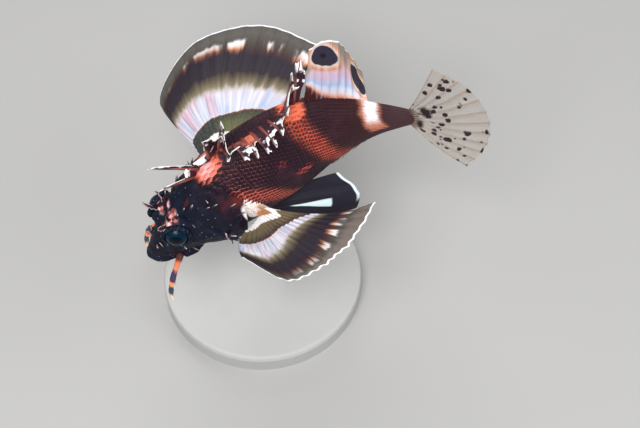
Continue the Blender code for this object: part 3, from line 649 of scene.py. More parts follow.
def eyeball(side_name, side):
    shell = bmesh.new()
    bmesh.ops.create_uvsphere(shell, u_segments=EYE_TURNS, v_segments=EYE_RINGS, radius=1.0, calc_uvs=False)
    layer = shell.loops.layers.uv.new("Gaze")
    for face in shell.faces:
        middle = face.calc_center_median()
        home = np.arctan2(middle.y, middle.x)
        for loop in face.loops:
            spot = loop.vert.co
            flat = np.hypot(spot.x, spot.y)
            turn = np.arctan2(spot.y, spot.x) if flat > 1e-5 else home
            turn += 2 * np.pi * np.round((home - turn) / (2 * np.pi))
            loop[layer].uv = (turn / (2 * np.pi), np.arccos(np.clip(spot.z, -1, 1)) / np.pi)
    centre, axes = eye_frame(side)
    radius = EYE_RADIUS * STANDARD_LENGTH
    for vertex in shell.verts:
        spot = np.array(vertex.co)
        bulge = 1 + 0.045 * hump(np.arccos(np.clip(spot[2], -1, 1)), 0.62)
        vertex.co = centre + (spot * radius * bulge) @ axes
    ball = finished("glass_eye_" + side_name, shell, EYE_GLASS)
    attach(ball, "root")
    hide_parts("eye_" + side_name)


for side_name, side in SIDES:
    eyeball(side_name, side)

# Eyelids
# A fleshy rim of skin lies round each eye, thin where it meets the glass and set with small soft warts. It is
# moulded as a ring and painted like the skin, with pale blue flecks.
LID_STEPS = 96
LID_SECTION = ((0.822, 0.6), (0.85, 0.665), (0.905, 0.69), (0.975, 0.655), (1.04, 0.56), (1.085, 0.43),
               (1.06, 0.3), (0.96, 0.34), (0.88, 0.44))
LID_WARTS = 13
WART_HEIGHT = 0.055


def make_lid_paint():
    made, shader, solid = new_material("lid_paint", roughness=0.5, coat=0.03)
    cloud = clouds(solid, 1500.0, 4.0)
    tint = mixed(fade(cloud, 0.4, 0.62), (0.003, 0.004, 0.01), (0.012, 0.02, 0.04))
    flecks = cells(solid, 1300.0)["Distance"]
    bright = fade(flecks, 0.22, 0.1) * fade(cloud, 0.52, 0.6)
    feed(shader, "Base Color", mixed(bright, tint, (0.2, 0.27, 0.4)))
    grained(shader, solid, pebble=0.00030, strength=0.5, depth=0.00010)
    return made


LID_PAINT = make_lid_paint()


def eyelid(side_name, side):
    radius = EYE_RADIUS * STANDARD_LENGTH
    shell = bmesh.new()
    corners = [shell.verts.new((out * radius, 0.0, high * radius)) for out, high in LID_SECTION]
    edges = [shell.edges.new((a, b)) for a, b in zip(corners, corners[1:] + corners[:1])]
    bmesh.ops.spin(shell, geom=corners + edges, cent=(0, 0, 0), axis=(0, 0, 1), steps=LID_STEPS,
                   angle=2 * np.pi, use_merge=True)
    centre, axes = eye_frame(side)
    for vertex in shell.verts:
        spot = np.array(vertex.co)
        turn = np.arctan2(spot[1], spot[0])
        out = np.hypot(spot[0], spot[1]) / radius
        wart = np.cos(LID_WARTS * turn + 1.5 * np.sin(3 * turn)) ** 6 * step(out, 0.90, 1.00)
        swell = radius * (WART_HEIGHT * wart + 0.035 * noise.noise(vertex.co * 1100))
        spot = spot * (1 + swell / radius * step(out, 0.84, 0.92))
        vertex.co = centre + spot @ axes
    rim = finished("eyelid_" + side_name, shell, LID_PAINT)
    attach(rim, "root")


for side_name, side in SIDES:
    eyelid(side_name, side)

# Scales
# Small overlapping scales cover the trunk behind the head, each a thin domed plate whose free edge lies
# toward the tail. They are painted with the skin's markings, with a paler net along their edges.
SCALE_LENGTH = 0.00215
SCALE_WIDTH = 0.00155
SCALE_ROW = 0.00096
SCALE_SPACING = 0.00130
SCALE_RISE = 0.00008
SCALE_FIRST = 0.285
SCALE_LAST = 0.985
SCALE_GRID = 4
SCALE_SIZES = ((0.28, 0.8), (0.4, 1.0), (0.7, 0.84), (0.98, 0.56))
SCALE_SCATTER = (0.0006, 0.03)
SCALE_SEED = 5
BAKE_PATCH = 0.003

along_u, around_v = np.meshgrid(np.linspace(0, 1, SKIN_LENGTHS + 1), np.linspace(0, 1, SKIN_TURNS + 1))
flesh = skin_points(along_u.ravel(), around_v.ravel()).reshape(SKIN_TURNS + 1, SKIN_LENGTHS + 1, 3)
flesh_out = outward_normals(flesh, flesh.mean(axis=0, keepdims=True))


def on_skin(values, s, turn):
    """Values of the skin's grid at stations and angles in degrees, blended between its points."""
    shares, at = np.array(SKIN_STATIONS[1:4]).T
    u = np.interp(s, at, shares) * SKIN_LENGTHS
    v = np.mod(turn + 90, 360) / 360 * SKIN_TURNS
    i, j = np.clip(v.astype(int), 0, SKIN_TURNS - 1), np.clip(u.astype(int), 0, SKIN_LENGTHS - 1)
    a, b = (v - i)[:, None], (u - j)[:, None]
    lower = values[i, j] * (1 - b) + values[i, j + 1] * b
    upper = values[i + 1, j] * (1 - b) + values[i + 1, j + 1] * b
    return lower * (1 - a) + upper * a


def scale_roots():
    """Stations, angles and sizes of the scales, in rows round the body with every other row shifted."""
    found = []
    s, row = SCALE_FIRST, 0
    fine = np.linspace(-90, 270, 721)
    draw = np.random.default_rng(SCALE_SEED)
    while s < SCALE_LAST:
        size = float(np.interp(s, *np.array(SCALE_SIZES).T))
        ring = on_skin(flesh, np.full(len(fine), s), fine)
        reach = np.concatenate([[0], np.cumsum(np.linalg.norm(np.diff(ring, axis=0), axis=1))])
        count = max(12, int(reach[-1] / (SCALE_SPACING * size)))
        spots = (np.arange(count) + 0.5 * (row % 2) + 0.05) / count * reach[-1]
        turns = np.interp(np.mod(spots, reach[-1]), reach, fine)
        for turn in turns:
            high = float(folded(np.radians(turn)))
            if s > GILL_COVER_EDGE + 0.016 - 0.0016 * max(high - 24, 0):
                shift = draw.normal(0, SCALE_SCATTER[0])
                found.append((s + shift, turn, size * (1 + draw.normal(0, SCALE_SCATTER[1]))))
        s += SCALE_ROW * size / STANDARD_LENGTH
        row += 1
    return np.array(found)


def scale_plate():
    """One scale as a domed rhomb, sunk at its outline and closed below, and its points before its taper."""
    shell = bmesh.new()
    bmesh.ops.create_grid(shell, x_segments=SCALE_GRID, y_segments=SCALE_GRID, size=1.0)
    untapered = []
    for vertex in shell.verts:
        x = np.sign(vertex.co.x) * abs(vertex.co.x) ** 0.62
        y = np.sign(vertex.co.y) * abs(vertex.co.y) ** 0.75
        border = max(abs(vertex.co.x), abs(vertex.co.y)) > 0.99
        round_x, round_y = x * np.sqrt(1 - y * y / 2), y * np.sqrt(1 - x * x / 2)
        untapered.append((round_x, round_y))
        lift = 0.18 + 0.82 * (round_x + 1) / 2 - 0.25 * round_y * round_y
        narrow = 1 - 0.42 * step(round_x, -0.1, 1.0)
        vertex.co = (round_x, round_y * narrow, -0.55 + 0.25 * (round_x + 1) / 2 if border else lift)
    bmesh.ops.holes_fill(shell, edges=shell.edges, sides=0)
    bmesh.ops.recalc_face_normals(shell, faces=shell.faces)
    return shell, np.array(untapered)


def make_scale_paint():
    made, shader, solid = new_material("scale_paint", roughness=0.5, coat=0.02)
    marks = body_marks(made)
    x, y = parts(uv_map(made, "Scale"))[:2]
    far = scaled(x, 0.1, maths("SQRT", x * x + y * y))
    inner = 0.96 - marks["Spread"]
    feed(shader, "Base Color", mixed(fade(far, inner, inner + 0.16), marks["Ground"], marks["Net"]))
    relieved(shader, maths("SINE", far * 34.0), strength=0.2, depth=0.00002)
    feed(shader, "Roughness", scaled(clouds(solid, 700.0, 3.0), 0.3, 0.4))
    return made


def lay_scales():
    roots = scale_roots()
    shell, untapered = scale_plate()
    plate = bpy.data.meshes.new("scale_plate")
    own = np.array([vertex.co for vertex in shell.verts])
    shell.to_mesh(plate)
    shell.free()
    pattern = bpy.data.objects.new("scale_plate", plate)
    bpy.context.scene.collection.objects.link(pattern)
    repeat = pattern.modifiers.new("Repeat", "ARRAY")
    repeat.count = len(roots)
    repeat.relative_offset_displace = (0.0, 0.0, 0.0)
    view = bpy.context.evaluated_depsgraph_get()
    mesh = bpy.data.meshes.new_from_object(pattern.evaluated_get(view))
    bpy.data.objects.remove(pattern, do_unlink=True)
    s, turn, size = roots.T
    root = on_skin(flesh, s, turn)
    back = unit(on_skin(flesh, s + 0.006, turn) - on_skin(flesh, s - 0.006, turn))
    out = unit(on_skin(flesh_out, s, turn))
    side = unit(np.cross(out, back))
    out = unit(np.cross(back, side))
    x, y, z = (own * np.array([SCALE_LENGTH / 2, SCALE_WIDTH / 2, SCALE_RISE])).T[..., None]
    flat = back[:, None] * x + side[:, None] * y
    points = root[:, None] + size[:, None, None] * flat + out[:, None] * z
    mesh.vertices.foreach_set("co", points.astype(np.float32).ravel())
    corner = np.zeros(len(mesh.loops), np.int32)
    mesh.loops.foreach_get("vertex_index", corner)
    girth = np.degrees(SCALE_WIDTH / 2) / (0.12 * STANDARD_LENGTH)
    own_s = (s[:, None] + own[None, :, 0] * size[:, None] * SCALE_LENGTH / 2 / STANDARD_LENGTH).ravel()
    own_turn = (turn[:, None] - own[None, :, 1] * size[:, None] * girth).ravel()
    markings = np.stack([own_s, (folded(np.radians(own_turn)) + 90) / 180], 1)
    local = np.tile(untapered, (len(roots), 1))
    at_root = np.stack([s, (turn + 90) / 360], 1)[:, None] + own[None, :, :2] * BAKE_PATCH / 2
    for name, spots in (("Markings", markings), ("Scale", local), ("OFBake", at_root.reshape(-1, 2))):
        layer = mesh.uv_layers.new(name=name)
        layer.data.foreach_set("uv", spots[corner].astype(np.float32).ravel())
    mesh.materials.clear()
    mesh.materials.append(make_scale_paint())
    mesh.shade_smooth()
    mesh.update()
    piece = bpy.data.objects.new("scales", mesh)
    bpy.context.scene.collection.objects.link(piece)
    return piece


scales = lay_scales()
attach(scales, "root")

# Head spines and cirri
# Short blunt spines stand on the cheek and nape, and soft frilled flaps of skin grow over the eyes and on the
# snout and cheek. They are cast thin, set into the skin, and tipped in white, pink and orange.
CHEEK_SPINES = 4
NAPE_SPINES = ((0.338, 22, 0.03), (0.346, 8, 0.026), (0.29, 40, 0.018), (0.312, 36, 0.018))
SPINE_LENGTHS = 14
SPINE_TURNS = 12
CIRRUS_GRID = (22, 12)
CIRRUS_THICKNESS = 0.00022


def tube(path, radii, sides, flatten, guide, maps, wave=None):
    """Closed tube along path(t) whose radius at t and angle is radii(t) times wave(t, angle)."""
    def shape(u, v):
        spots = path(u)
        ahead = unit(path(u + 0.004) - path(u - 0.004))
        across = unit(np.cross(np.broadcast_to(guide, ahead.shape), ahead))
        third = np.cross(ahead, across)
        turn = 2 * np.pi * v
        radius = radii(u) * (wave(u, turn) if wave else 1.0)
        ring = across * np.cos(turn)[:, None] + third * np.sin(turn)[:, None] * flatten
        return spots + radius[:, None] * ring
    return surface(sides[0], sides[1], shape, maps)


def along_piece(u, v):
    return u, v


def rounded(left, share):
    """Rounding of an end, for what is left before it, over a share of the length."""
    return np.sqrt(np.clip(left / share, 0, 1))


def tapered(u, tip, foot):
    """How a tube closes: rounded over its tip and pointed at its foot, over shares of its length."""
    return rounded(1 - u, tip) * np.clip(u / foot, 0, 1)


def make_spine_paint():
    made, shader, solid = new_material("spine_paint", roughness=0.45, coat=0.08)
    t = parts(uv_map(made, "Along"))[0]
    cloud = clouds(solid, 1400.0, 3.0)
    place_on = t + scaled(cloud, 0.3, -0.15)
    tint = ramp(place_on, ((0.0, 0.01, 0.01, 0.02), (0.55, 0.03, 0.026, 0.038), (0.78, 0.26, 0.23, 0.25),
                           (1.0, 0.72, 0.68, 0.7)))
    feed(shader, "Base Color", tint)
    grained(shader, solid, pebble=0.0003, strength=0.4, depth=0.00008)
    return made


SPINE_PAINT = make_spine_paint()


def skin_spot(s, degrees, lift=0.0):
    """World point on the finished skin, or above it by a lift in standard lengths."""
    s, degrees = np.array([float(s)]), np.array([float(degrees)])
    return (on_skin(flesh, s, degrees) + on_skin(flesh_out, s, degrees) * lift * STANDARD_LENGTH)[0]


def spine(root, tip, radius):
    """A short tapered spine with a rounded point."""
    def path(u):
        return root + (tip - root) * np.asarray(u)[:, None]

    def radii(u):
        return radius * (1 - 0.86 * u) * tapered(u, 0.06, 0.02)

    return tube(path, radii, (SPINE_LENGTHS, SPINE_TURNS), 1.0, (0.31, 0.17, 0.93), {"Along": along_piece})


def gathered(shells):
    """One bmesh joined of several."""
    whole = shells[0]
    for shell in shells[1:]:
        carried = bpy.data.meshes.new("carried")
        shell.to_mesh(carried)
        shell.free()
        whole.from_mesh(carried)
        bpy.data.meshes.remove(carried)
    return whole


def two_faced(columns, rows, lay, maps):
    """A thin piece of two surfaces back to back, laid by lay(u, v, face) for faces 1 and -1."""
    faces = [surface(columns, rows, lambda u, v, face=face: lay(u, v, face), maps) for face in (1, -1)]
    return gathered(faces)


def mirrored(degrees, side):
    return degrees if side > 0 else 180 - degrees


head_spines = []
for side in (1, -1):
    cheek = [(0.275 - 0.012 * k, -8 - 17 * k, 0.014, 0.024, -0.010, 0.022, 0.0085)
             for k in range(CHEEK_SPINES)]
    behind = [(s, degrees, 0.012, length, -0.006, 0.014, 0.0060) for s, degrees, length in NAPE_SPINES]
    for s, degrees, sunk, length, low, high, radius in cheek + behind:
        turned = mirrored(degrees, side)
        root, tip = skin_spot(s - sunk, turned, low), skin_spot(s + length, turned, high)
        head_spines.append(spine(root, tip, radius * STANDARD_LENGTH))
    for s, out, up, length, lean, rise, radius in ((0.245, 0.052, 0.135, 0.028, 0.012, 0.034, 0.0085),
                                                   (0.192, 0.041, 0.138, 0.022, 0.008, 0.026, 0.0065),
                                                   (0.222, 0.041, 0.138, 0.020, 0.008, 0.026, 0.0065)):
        root = place(s, side * out, up)
        tip = root + offset(s, length, side * lean, rise)
        head_spines.append(spine(root, tip, radius * STANDARD_LENGTH))
spines = finished("head_spines", gathered(head_spines), SPINE_PAINT)
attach(spines, "root")


def make_cirrus_paint():
    made, shader, solid = new_material("cirrus_paint", roughness=0.5, coat=0.05)
    t, across = parts(uv_map(made, "Flap"))[:2]
    cloud = clouds(solid, 900.0, 4.0)
    edge = most(abs(across), scaled(t, 1.3, -0.42))
    edge = edge + scaled(cloud, 0.7, -0.35)
    tint = ramp(edge, ((0.0, 0.02, 0.012, 0.022), (0.5, 0.04, 0.02, 0.032), (0.7, 0.13, 0.05, 0.05),
                       (0.84, 0.34, 0.19, 0.18), (0.96, 0.62, 0.54, 0.54), (1.0, 0.74, 0.7, 0.7)))
    feed(shader, "Base Color", tint)
    grained(shader, solid, pebble=0.00025, strength=0.4, depth=0.00006)
    return made


def cirrus(root, reach, bend, width, across, lobes):
    """A thin frilled flap of skin from a root along a reach, with lobes down both edges."""
    def lay(t, v, face):
        w = 2 * v - 1
        frill = 1 + 0.20 * np.cos(2 * np.pi * lobes * t + 1.2 * np.sign(w)) * np.abs(w)
        half = width * np.sqrt(np.clip(1 - (2 * t - 0.94) ** 2 * 0.78, 0.02, 1)) * frill * (1 - 0.45 * t ** 3)
        half = half * rounded(1 - t, 0.08)
        middle = root + reach * t[:, None] + bend * np.sin(np.pi * t)[:, None]
        normal = unit(np.cross(reach, across))
        curl = 0.35 * width * w ** 2 + 0.16 * width * np.sin(2 * np.pi * lobes * t) * w
        solid_half = CIRRUS_THICKNESS / 2 * np.sqrt(np.clip(1 - w * w, 0, 1))
        return middle + across * (half * w)[:, None] + normal * (curl + face * solid_half)[:, None]

    return two_faced(*CIRRUS_GRID, lay, {"Flap": lambda u, v: (u, 2 * v - 1)})


head_flaps = []
for side in (1, -1):
    leftwards = unit(offset(0.150, 0, 1, 0))
    root = place(0.150, side * 0.036, 0.130)
    head_flaps.append(cirrus(root, offset(0.150, -0.014, side * 0.020, 0.056), offset(0.15, -0.006, 0, 0),
                             0.0100 * STANDARD_LENGTH, leftwards, 4))
    root = place(0.176, side * 0.040, 0.146)
    head_flaps.append(cirrus(root, offset(0.176, 0.012, side * 0.022, 0.036), offset(0.17, 0.006, 0, 0),
                             0.0080 * STANDARD_LENGTH, leftwards, 3))
    for s, degrees, length, width in ((0.052, 60, 0.022, 0.0050), (0.070, 58, 0.018, 0.0045),
                                      (0.118, 12, 0.020, 0.0050), (0.268, -6, 0.032, 0.0105),
                                      (0.245, -30, 0.022, 0.0070), (0.305, 46, 0.018, 0.0055),
                                      (0.112, -24, 0.026, 0.0070), (0.210, 34, 0.014, 0.0045)):
        turned = mirrored(degrees, side)
        root = skin_spot(s, turned, -0.003)
        rise = skin_spot(s, turned, length) - root
        trailing = offset(s, length * 0.55, 0, 0)
        across = unit(np.cross(rise, offset(s, 1, 0, 0)))
        head_flaps.append(cirrus(root, rise + trailing, trailing * 0.15, width * STANDARD_LENGTH, across, 3))
flaps = finished("head_cirri", gathered(head_flaps), make_cirrus_paint())
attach(flaps, "root")

# Tentacles
# A soft barbel hangs from each side of the upper jaw, a little flat, knobbed along its edges and fringed
# near the tip. It is banded in orange and dark blue, and ends pale.
TENTACLE_ROOT = (0.07, 0.066, -0.012)
TENTACLE_LENGTH = 0.185
TENTACLE_RADIUS = 0.014
TENTACLE_STEPS = (96, 24)
FRINGES = 9
FRINGE_LENGTH = 0.0011
FRINGE_RADIUS = 0.00026


def make_tentacle_paint():
    made, shader, solid = new_material("tentacle_paint", roughness=0.45, coat=0.08)
    t = parts(uv_map(made, "Along"))[0]
    cloud = clouds(solid, 650.0, 4.0)
    place_on = t + scaled(cloud, 0.12, -0.06)
    tint = ramp(place_on, ((0.0, 0.07, 0.02, 0.026), (0.09, 0.12, 0.035, 0.032), (0.16, 0.85, 0.2, 0.085),
                           (0.26, 0.92, 0.27, 0.13), (0.31, 0.07, 0.045, 0.085), (0.46, 0.05, 0.05, 0.1),
                           (0.49, 0.9, 0.24, 0.09), (0.58, 0.95, 0.36, 0.15), (0.62, 0.045, 0.05, 0.1),
                           (0.78, 0.055, 0.075, 0.13), (0.83, 0.86, 0.5, 0.24), (0.95, 0.95, 0.74, 0.5)))
    feed(shader, "Base Color", tint)
    grained(shader, solid, pebble=0.00028, strength=0.5, depth=0.00010)
    return made


TENTACLE_PAINT = make_tentacle_paint()


def tentacle(side_name, side):
    s, out, up = TENTACLE_ROOT
    start = place(s, side * (out + 0.004), up - 0.002)
    fall = np.array([-0.30, -0.20 * side, -0.93]) * TENTACLE_LENGTH * STANDARD_LENGTH
    sway = np.array([-0.10, -0.10 * side, 0.0]) * TENTACLE_LENGTH * STANDARD_LENGTH

    def path(u):
        t = (np.asarray(u) - 0.06) / 0.94
        return start + fall * t[:, None] + sway * np.sin(np.pi * t)[:, None]

    def radii(u):
        t = np.clip((u - 0.06) / 0.94, 0, 1)
        swell = TENTACLE_RADIUS * STANDARD_LENGTH * (1 - 0.35 * t) * (1 + 0.14 * np.cos(5 * np.pi * t))
        return swell * rounded(1 - u, 0.07) * rounded(u, 0.03) * 0.94

    def knobs(u, turn):
        edge = np.abs(np.cos(turn)) ** 6
        return 1 + edge * 0.22 * np.sin(2 * np.pi * 8 * u + 1.6 * np.sign(np.cos(turn))) * step(u, 0.12, 0.3)

    pieces = [tube(path, radii, TENTACLE_STEPS, 0.72, (1.0, 0.2, 0.1), {"Along": along_piece}, knobs)]
    for k in range(FRINGES):
        t = 0.34 + 0.60 * k / (FRINGES - 1)
        spot = path(np.array([t]))[0]
        wide = radii(np.array([t]))[0]
        way = unit(np.array([0.05, -0.90 * side * (1 if k % 2 else -1), -0.45]))
        fringe = spine(spot + way * wide * 0.5, spot + way * (wide * 1.25 + FRINGE_LENGTH), FRINGE_RADIUS)
        own_t = fringe.loops.layers.uv["Along"]
        for face in fringe.faces:
            for loop in face.loops:
                loop[own_t].uv = (t + 0.10 * loop[own_t].uv[0], 0.5)
        pieces.append(fringe)
    barbel = finished("barbel_" + side_name, gathered(pieces), TENTACLE_PAINT)
    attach(barbel, "root")
    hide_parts("tentacle_" + side_name)


for side_name, side in SIDES:
    tentacle(side_name, side)

# Pectoral fins
# Each broad fin is a fan of stiff jointed rays in a thin web that dips between them, let into the skin.
# It is cast clear and painted in bands across the rays, on both faces alike, with a hard white rim.
RAY_COLUMNS = 12
WEB_THICKNESS = 0.00014
RAY_JOINTS = 34
PECTORAL_RAYS = 17
PECTORAL_ROWS = 84
PECTORAL_ROOT = ((0.392, 0.102, 0.018), (0.38, 0.088, -0.112))
PECTORAL_TIPS = {"left": ((0.355, 0.26, -0.01), (0.25, 0.345, 0.05), (0.14, 0.365, 0.08),
                          (0.004, 0.328, 0.092), (-0.092, 0.167, 0.128)),
                 "right": ((0.44, 0.225, -0.09), (0.31, 0.43, -0.035), (0.086, 0.504, 0.05),
                           (-0.128, 0.43, 0.047), (-0.111, 0.279, 0.035))}
PECTORAL_BOWS = {"left": ((0.0, 0.0, 0.038, -0.03), (0.15, -0.01, 0.016, 0.0), (0.35, -0.02, 0.0, 0.03),
                          (0.8, -0.025, 0.0, 0.03), (1.0, -0.038, 0.0, 0.026)),
                 "right": ((0.0, 0.06, -0.01, -0.01), (0.2, 0.015, 0.0, 0.015), (0.4, -0.02, 0.0, 0.03),
                           (0.8, -0.022, 0.0, 0.026), (1.0, -0.036, 0.0, 0.01))}
# Where the painted bands begin along a ray, from the uppermost ray (0) to the lowest (1): the start and
# end of the white base, then the pale band, the dark band, the row of spots and the clear margin.
PECTORAL_BANDS = {"left": ((0.0, 0.1, 0.2, 0.425, 0.495, 0.7, 0.83),
                           (0.1, 0.1, 0.2, 0.43, 0.515, 0.73, 0.84),
                           (0.2, 0.205, 0.3, 0.43, 0.53, 0.76, 0.86),
                           (0.3, 0.2, 0.305, 0.44, 0.55, 0.8, 0.885),
                           (0.4, 0.17, 0.285, 0.44, 0.57, 0.84, 0.915),
                           (0.5, 0.145, 0.262, 0.445, 0.6, 0.865, 0.935),
                           (0.6, 0.11, 0.222, 0.44, 0.64, 0.875, 0.95),
                           (0.7, 0.08, 0.205, 0.42, 0.65, 0.89, 0.96),
                           (0.8, 0.06, 0.22, 0.44, 0.7, 0.9, 0.965),
                           (0.9, 0.04, 0.27, 0.52, 0.75, 0.92, 0.97),
                           (1.0, 0.02, 0.33, 0.6, 0.8, 0.95, 0.975)),
                  "right": ((0.0, 0.15, 0.157, 0.335, 0.5, 0.755, 0.88),
                            (0.1, 0.164, 0.176, 0.345, 0.505, 0.765, 0.885),
                            (0.2, 0.163, 0.188, 0.34, 0.515, 0.775, 0.885),
                            (0.3, 0.158, 0.205, 0.338, 0.53, 0.795, 0.885),
                            (0.4, 0.17, 0.235, 0.35, 0.555, 0.83, 0.89),
                            (0.5, 0.18, 0.26, 0.365, 0.575, 0.85, 0.895),
                            (0.6, 0.215, 0.285, 0.385, 0.615, 0.86, 0.9),
                            (0.7, 0.245, 0.315, 0.42, 0.66, 0.875, 0.91),
                            (0.8, 0.26, 0.35, 0.47, 0.72, 0.9, 0.94),
                            (1.0, 0.3, 0.42, 0.6, 0.82, 0.95, 0.975))}
BAND_PLACES = (0.0, 0.1, 0.2, 0.4, 0.6, 0.8, 0.9, 1.0)
ROOT_DEPTH = 0.020


def ray_place(u, gaps):
    """Share of the way across a fin and distance from the nearest ray, in gaps, for u from 0 to 1."""
    beyond = 0.25
    x = u * (gaps + 2 * beyond) - beyond
    x = x - 0.6 * np.sin(2 * np.pi * x) / (2 * np.pi)
    return x / gaps, x - np.round(x)


def within(u, v):
    """1 inside a surface and 0 on its border."""
    return (u > 1e-6) * (u < 1 - 1e-6) * (v > 1e-6) * (v < 1 - 1e-6)


def fin(rays, rows, ray_line, seed, scallop, worn=0.004, ray=0.00042, maps=None):
    """Closed fin: ray_line(k) gives the root, the reach and the belly of rays at shares k across the fin.

    The rim dips by the scallop between rays, and tips are worn back by up to worn, both as shares of a ray.
    """
    gaps = rays - 1
    columns = int((gaps + 0.5) * RAY_COLUMNS)
    draw = np.random.default_rng(seed)
    lost = draw.uniform(-worn, worn / 2, rays)

    def lay(u, v, face):
        k, away = ray_place(u, gaps)
        root, reach, belly = ray_line(k)
        share = 1 - scallop * np.sin(np.pi * np.clip(k * gaps, 0, gaps)) ** 2
        share = share + np.interp(k * gaps, np.arange(rays), lost)
        t = (v * (1 + (share - 1) * v))[:, None]
        spots = root + reach * t + belly * np.sin(np.pi * t)
        normal = grid_normals(spots.reshape(rows + 1, columns + 1, 3)).reshape(-1, 3)
        branched = 0.14 * step(v, 0.50, 0.95)
        ridge = hump(np.abs(np.abs(away) - branched), 0.085 - 0.03 * v)
        joints = 1 - 0.16 * (np.sin(2 * np.pi * RAY_JOINTS * v) > 0.8)
        half = (WEB_THICKNESS + ray * ridge * joints * (1 - 0.62 * v)) / 2 * within(u, v)
        fold = 0.00012 * np.cos(2 * np.pi * away) * step(v, 0.05, 0.3)
        return spots + normal * (fold + face * half)[:, None]

    maps = {**(maps or {}), "Rays": lambda u, v: (ray_place(u, gaps)[0], v)}
    return two_faced(columns, rows, lay, maps)


def make_ray_marks():
    """Marks that follow a fin's rays: streaks and blotches drawn along them, the rays and their joints."""
    inputs = {"Place": "v", "Gaps": "f", "Seed": "f"}
    outputs = {"Streaks": "f", "Blotches": "f", "Ray": "f", "Joints": "f"}
    group, start, end = new_group("ray_marks", inputs, outputs)
    k, t = parts(start["Place"])[:2]
    x = k * start["Gaps"]
    feed(end, "Streaks", clouds(vector(x * 2.2, t * 3.2, start["Seed"]), 1.0, 3.0))
    feed(end, "Blotches", clouds(vector(x * 0.9, t * 2.0, start["Seed"]), 1.0, 2.0))
    feed(end, "Ray", fade(maths("PINGPONG", x, 0.5), 0.16, 0.03))
    feed(end, "Joints", maths("SINE", t * 230.0) > 0.72)
    return group


RAY_MARKS = make_ray_marks()


def ray_marks(made, gaps, seed):
    """The marks along the rays of a fin, and its own map's shares across the rays (k) and along them (t)."""
    spot = uv_map(made, "Rays")
    sockets = {"Place": spot, "Gaps": float(gaps), "Seed": seed}
    return add(made.node_tree, "Group", sockets, node_tree=RAY_MARKS), *parts(spot)[:2]


def finish_fin(shader, marks, tint, alpha=None):
    """Rays a little darker and jointed, with a wet gloss that is broken along them."""
    feed(shader, "Base Color", mixed(marks["Ray"] * 0.12, tint, (0.05, 0.02, 0.02)))
    feed(shader, "Roughness", scaled(marks["Streaks"], 0.3, 0.34))
    relieved(shader, marks["Streaks"] + marks["Joints"] * -0.35, strength=0.45, depth=0.00008)
    if alpha is not None:
        feed(shader, "Alpha", alpha)


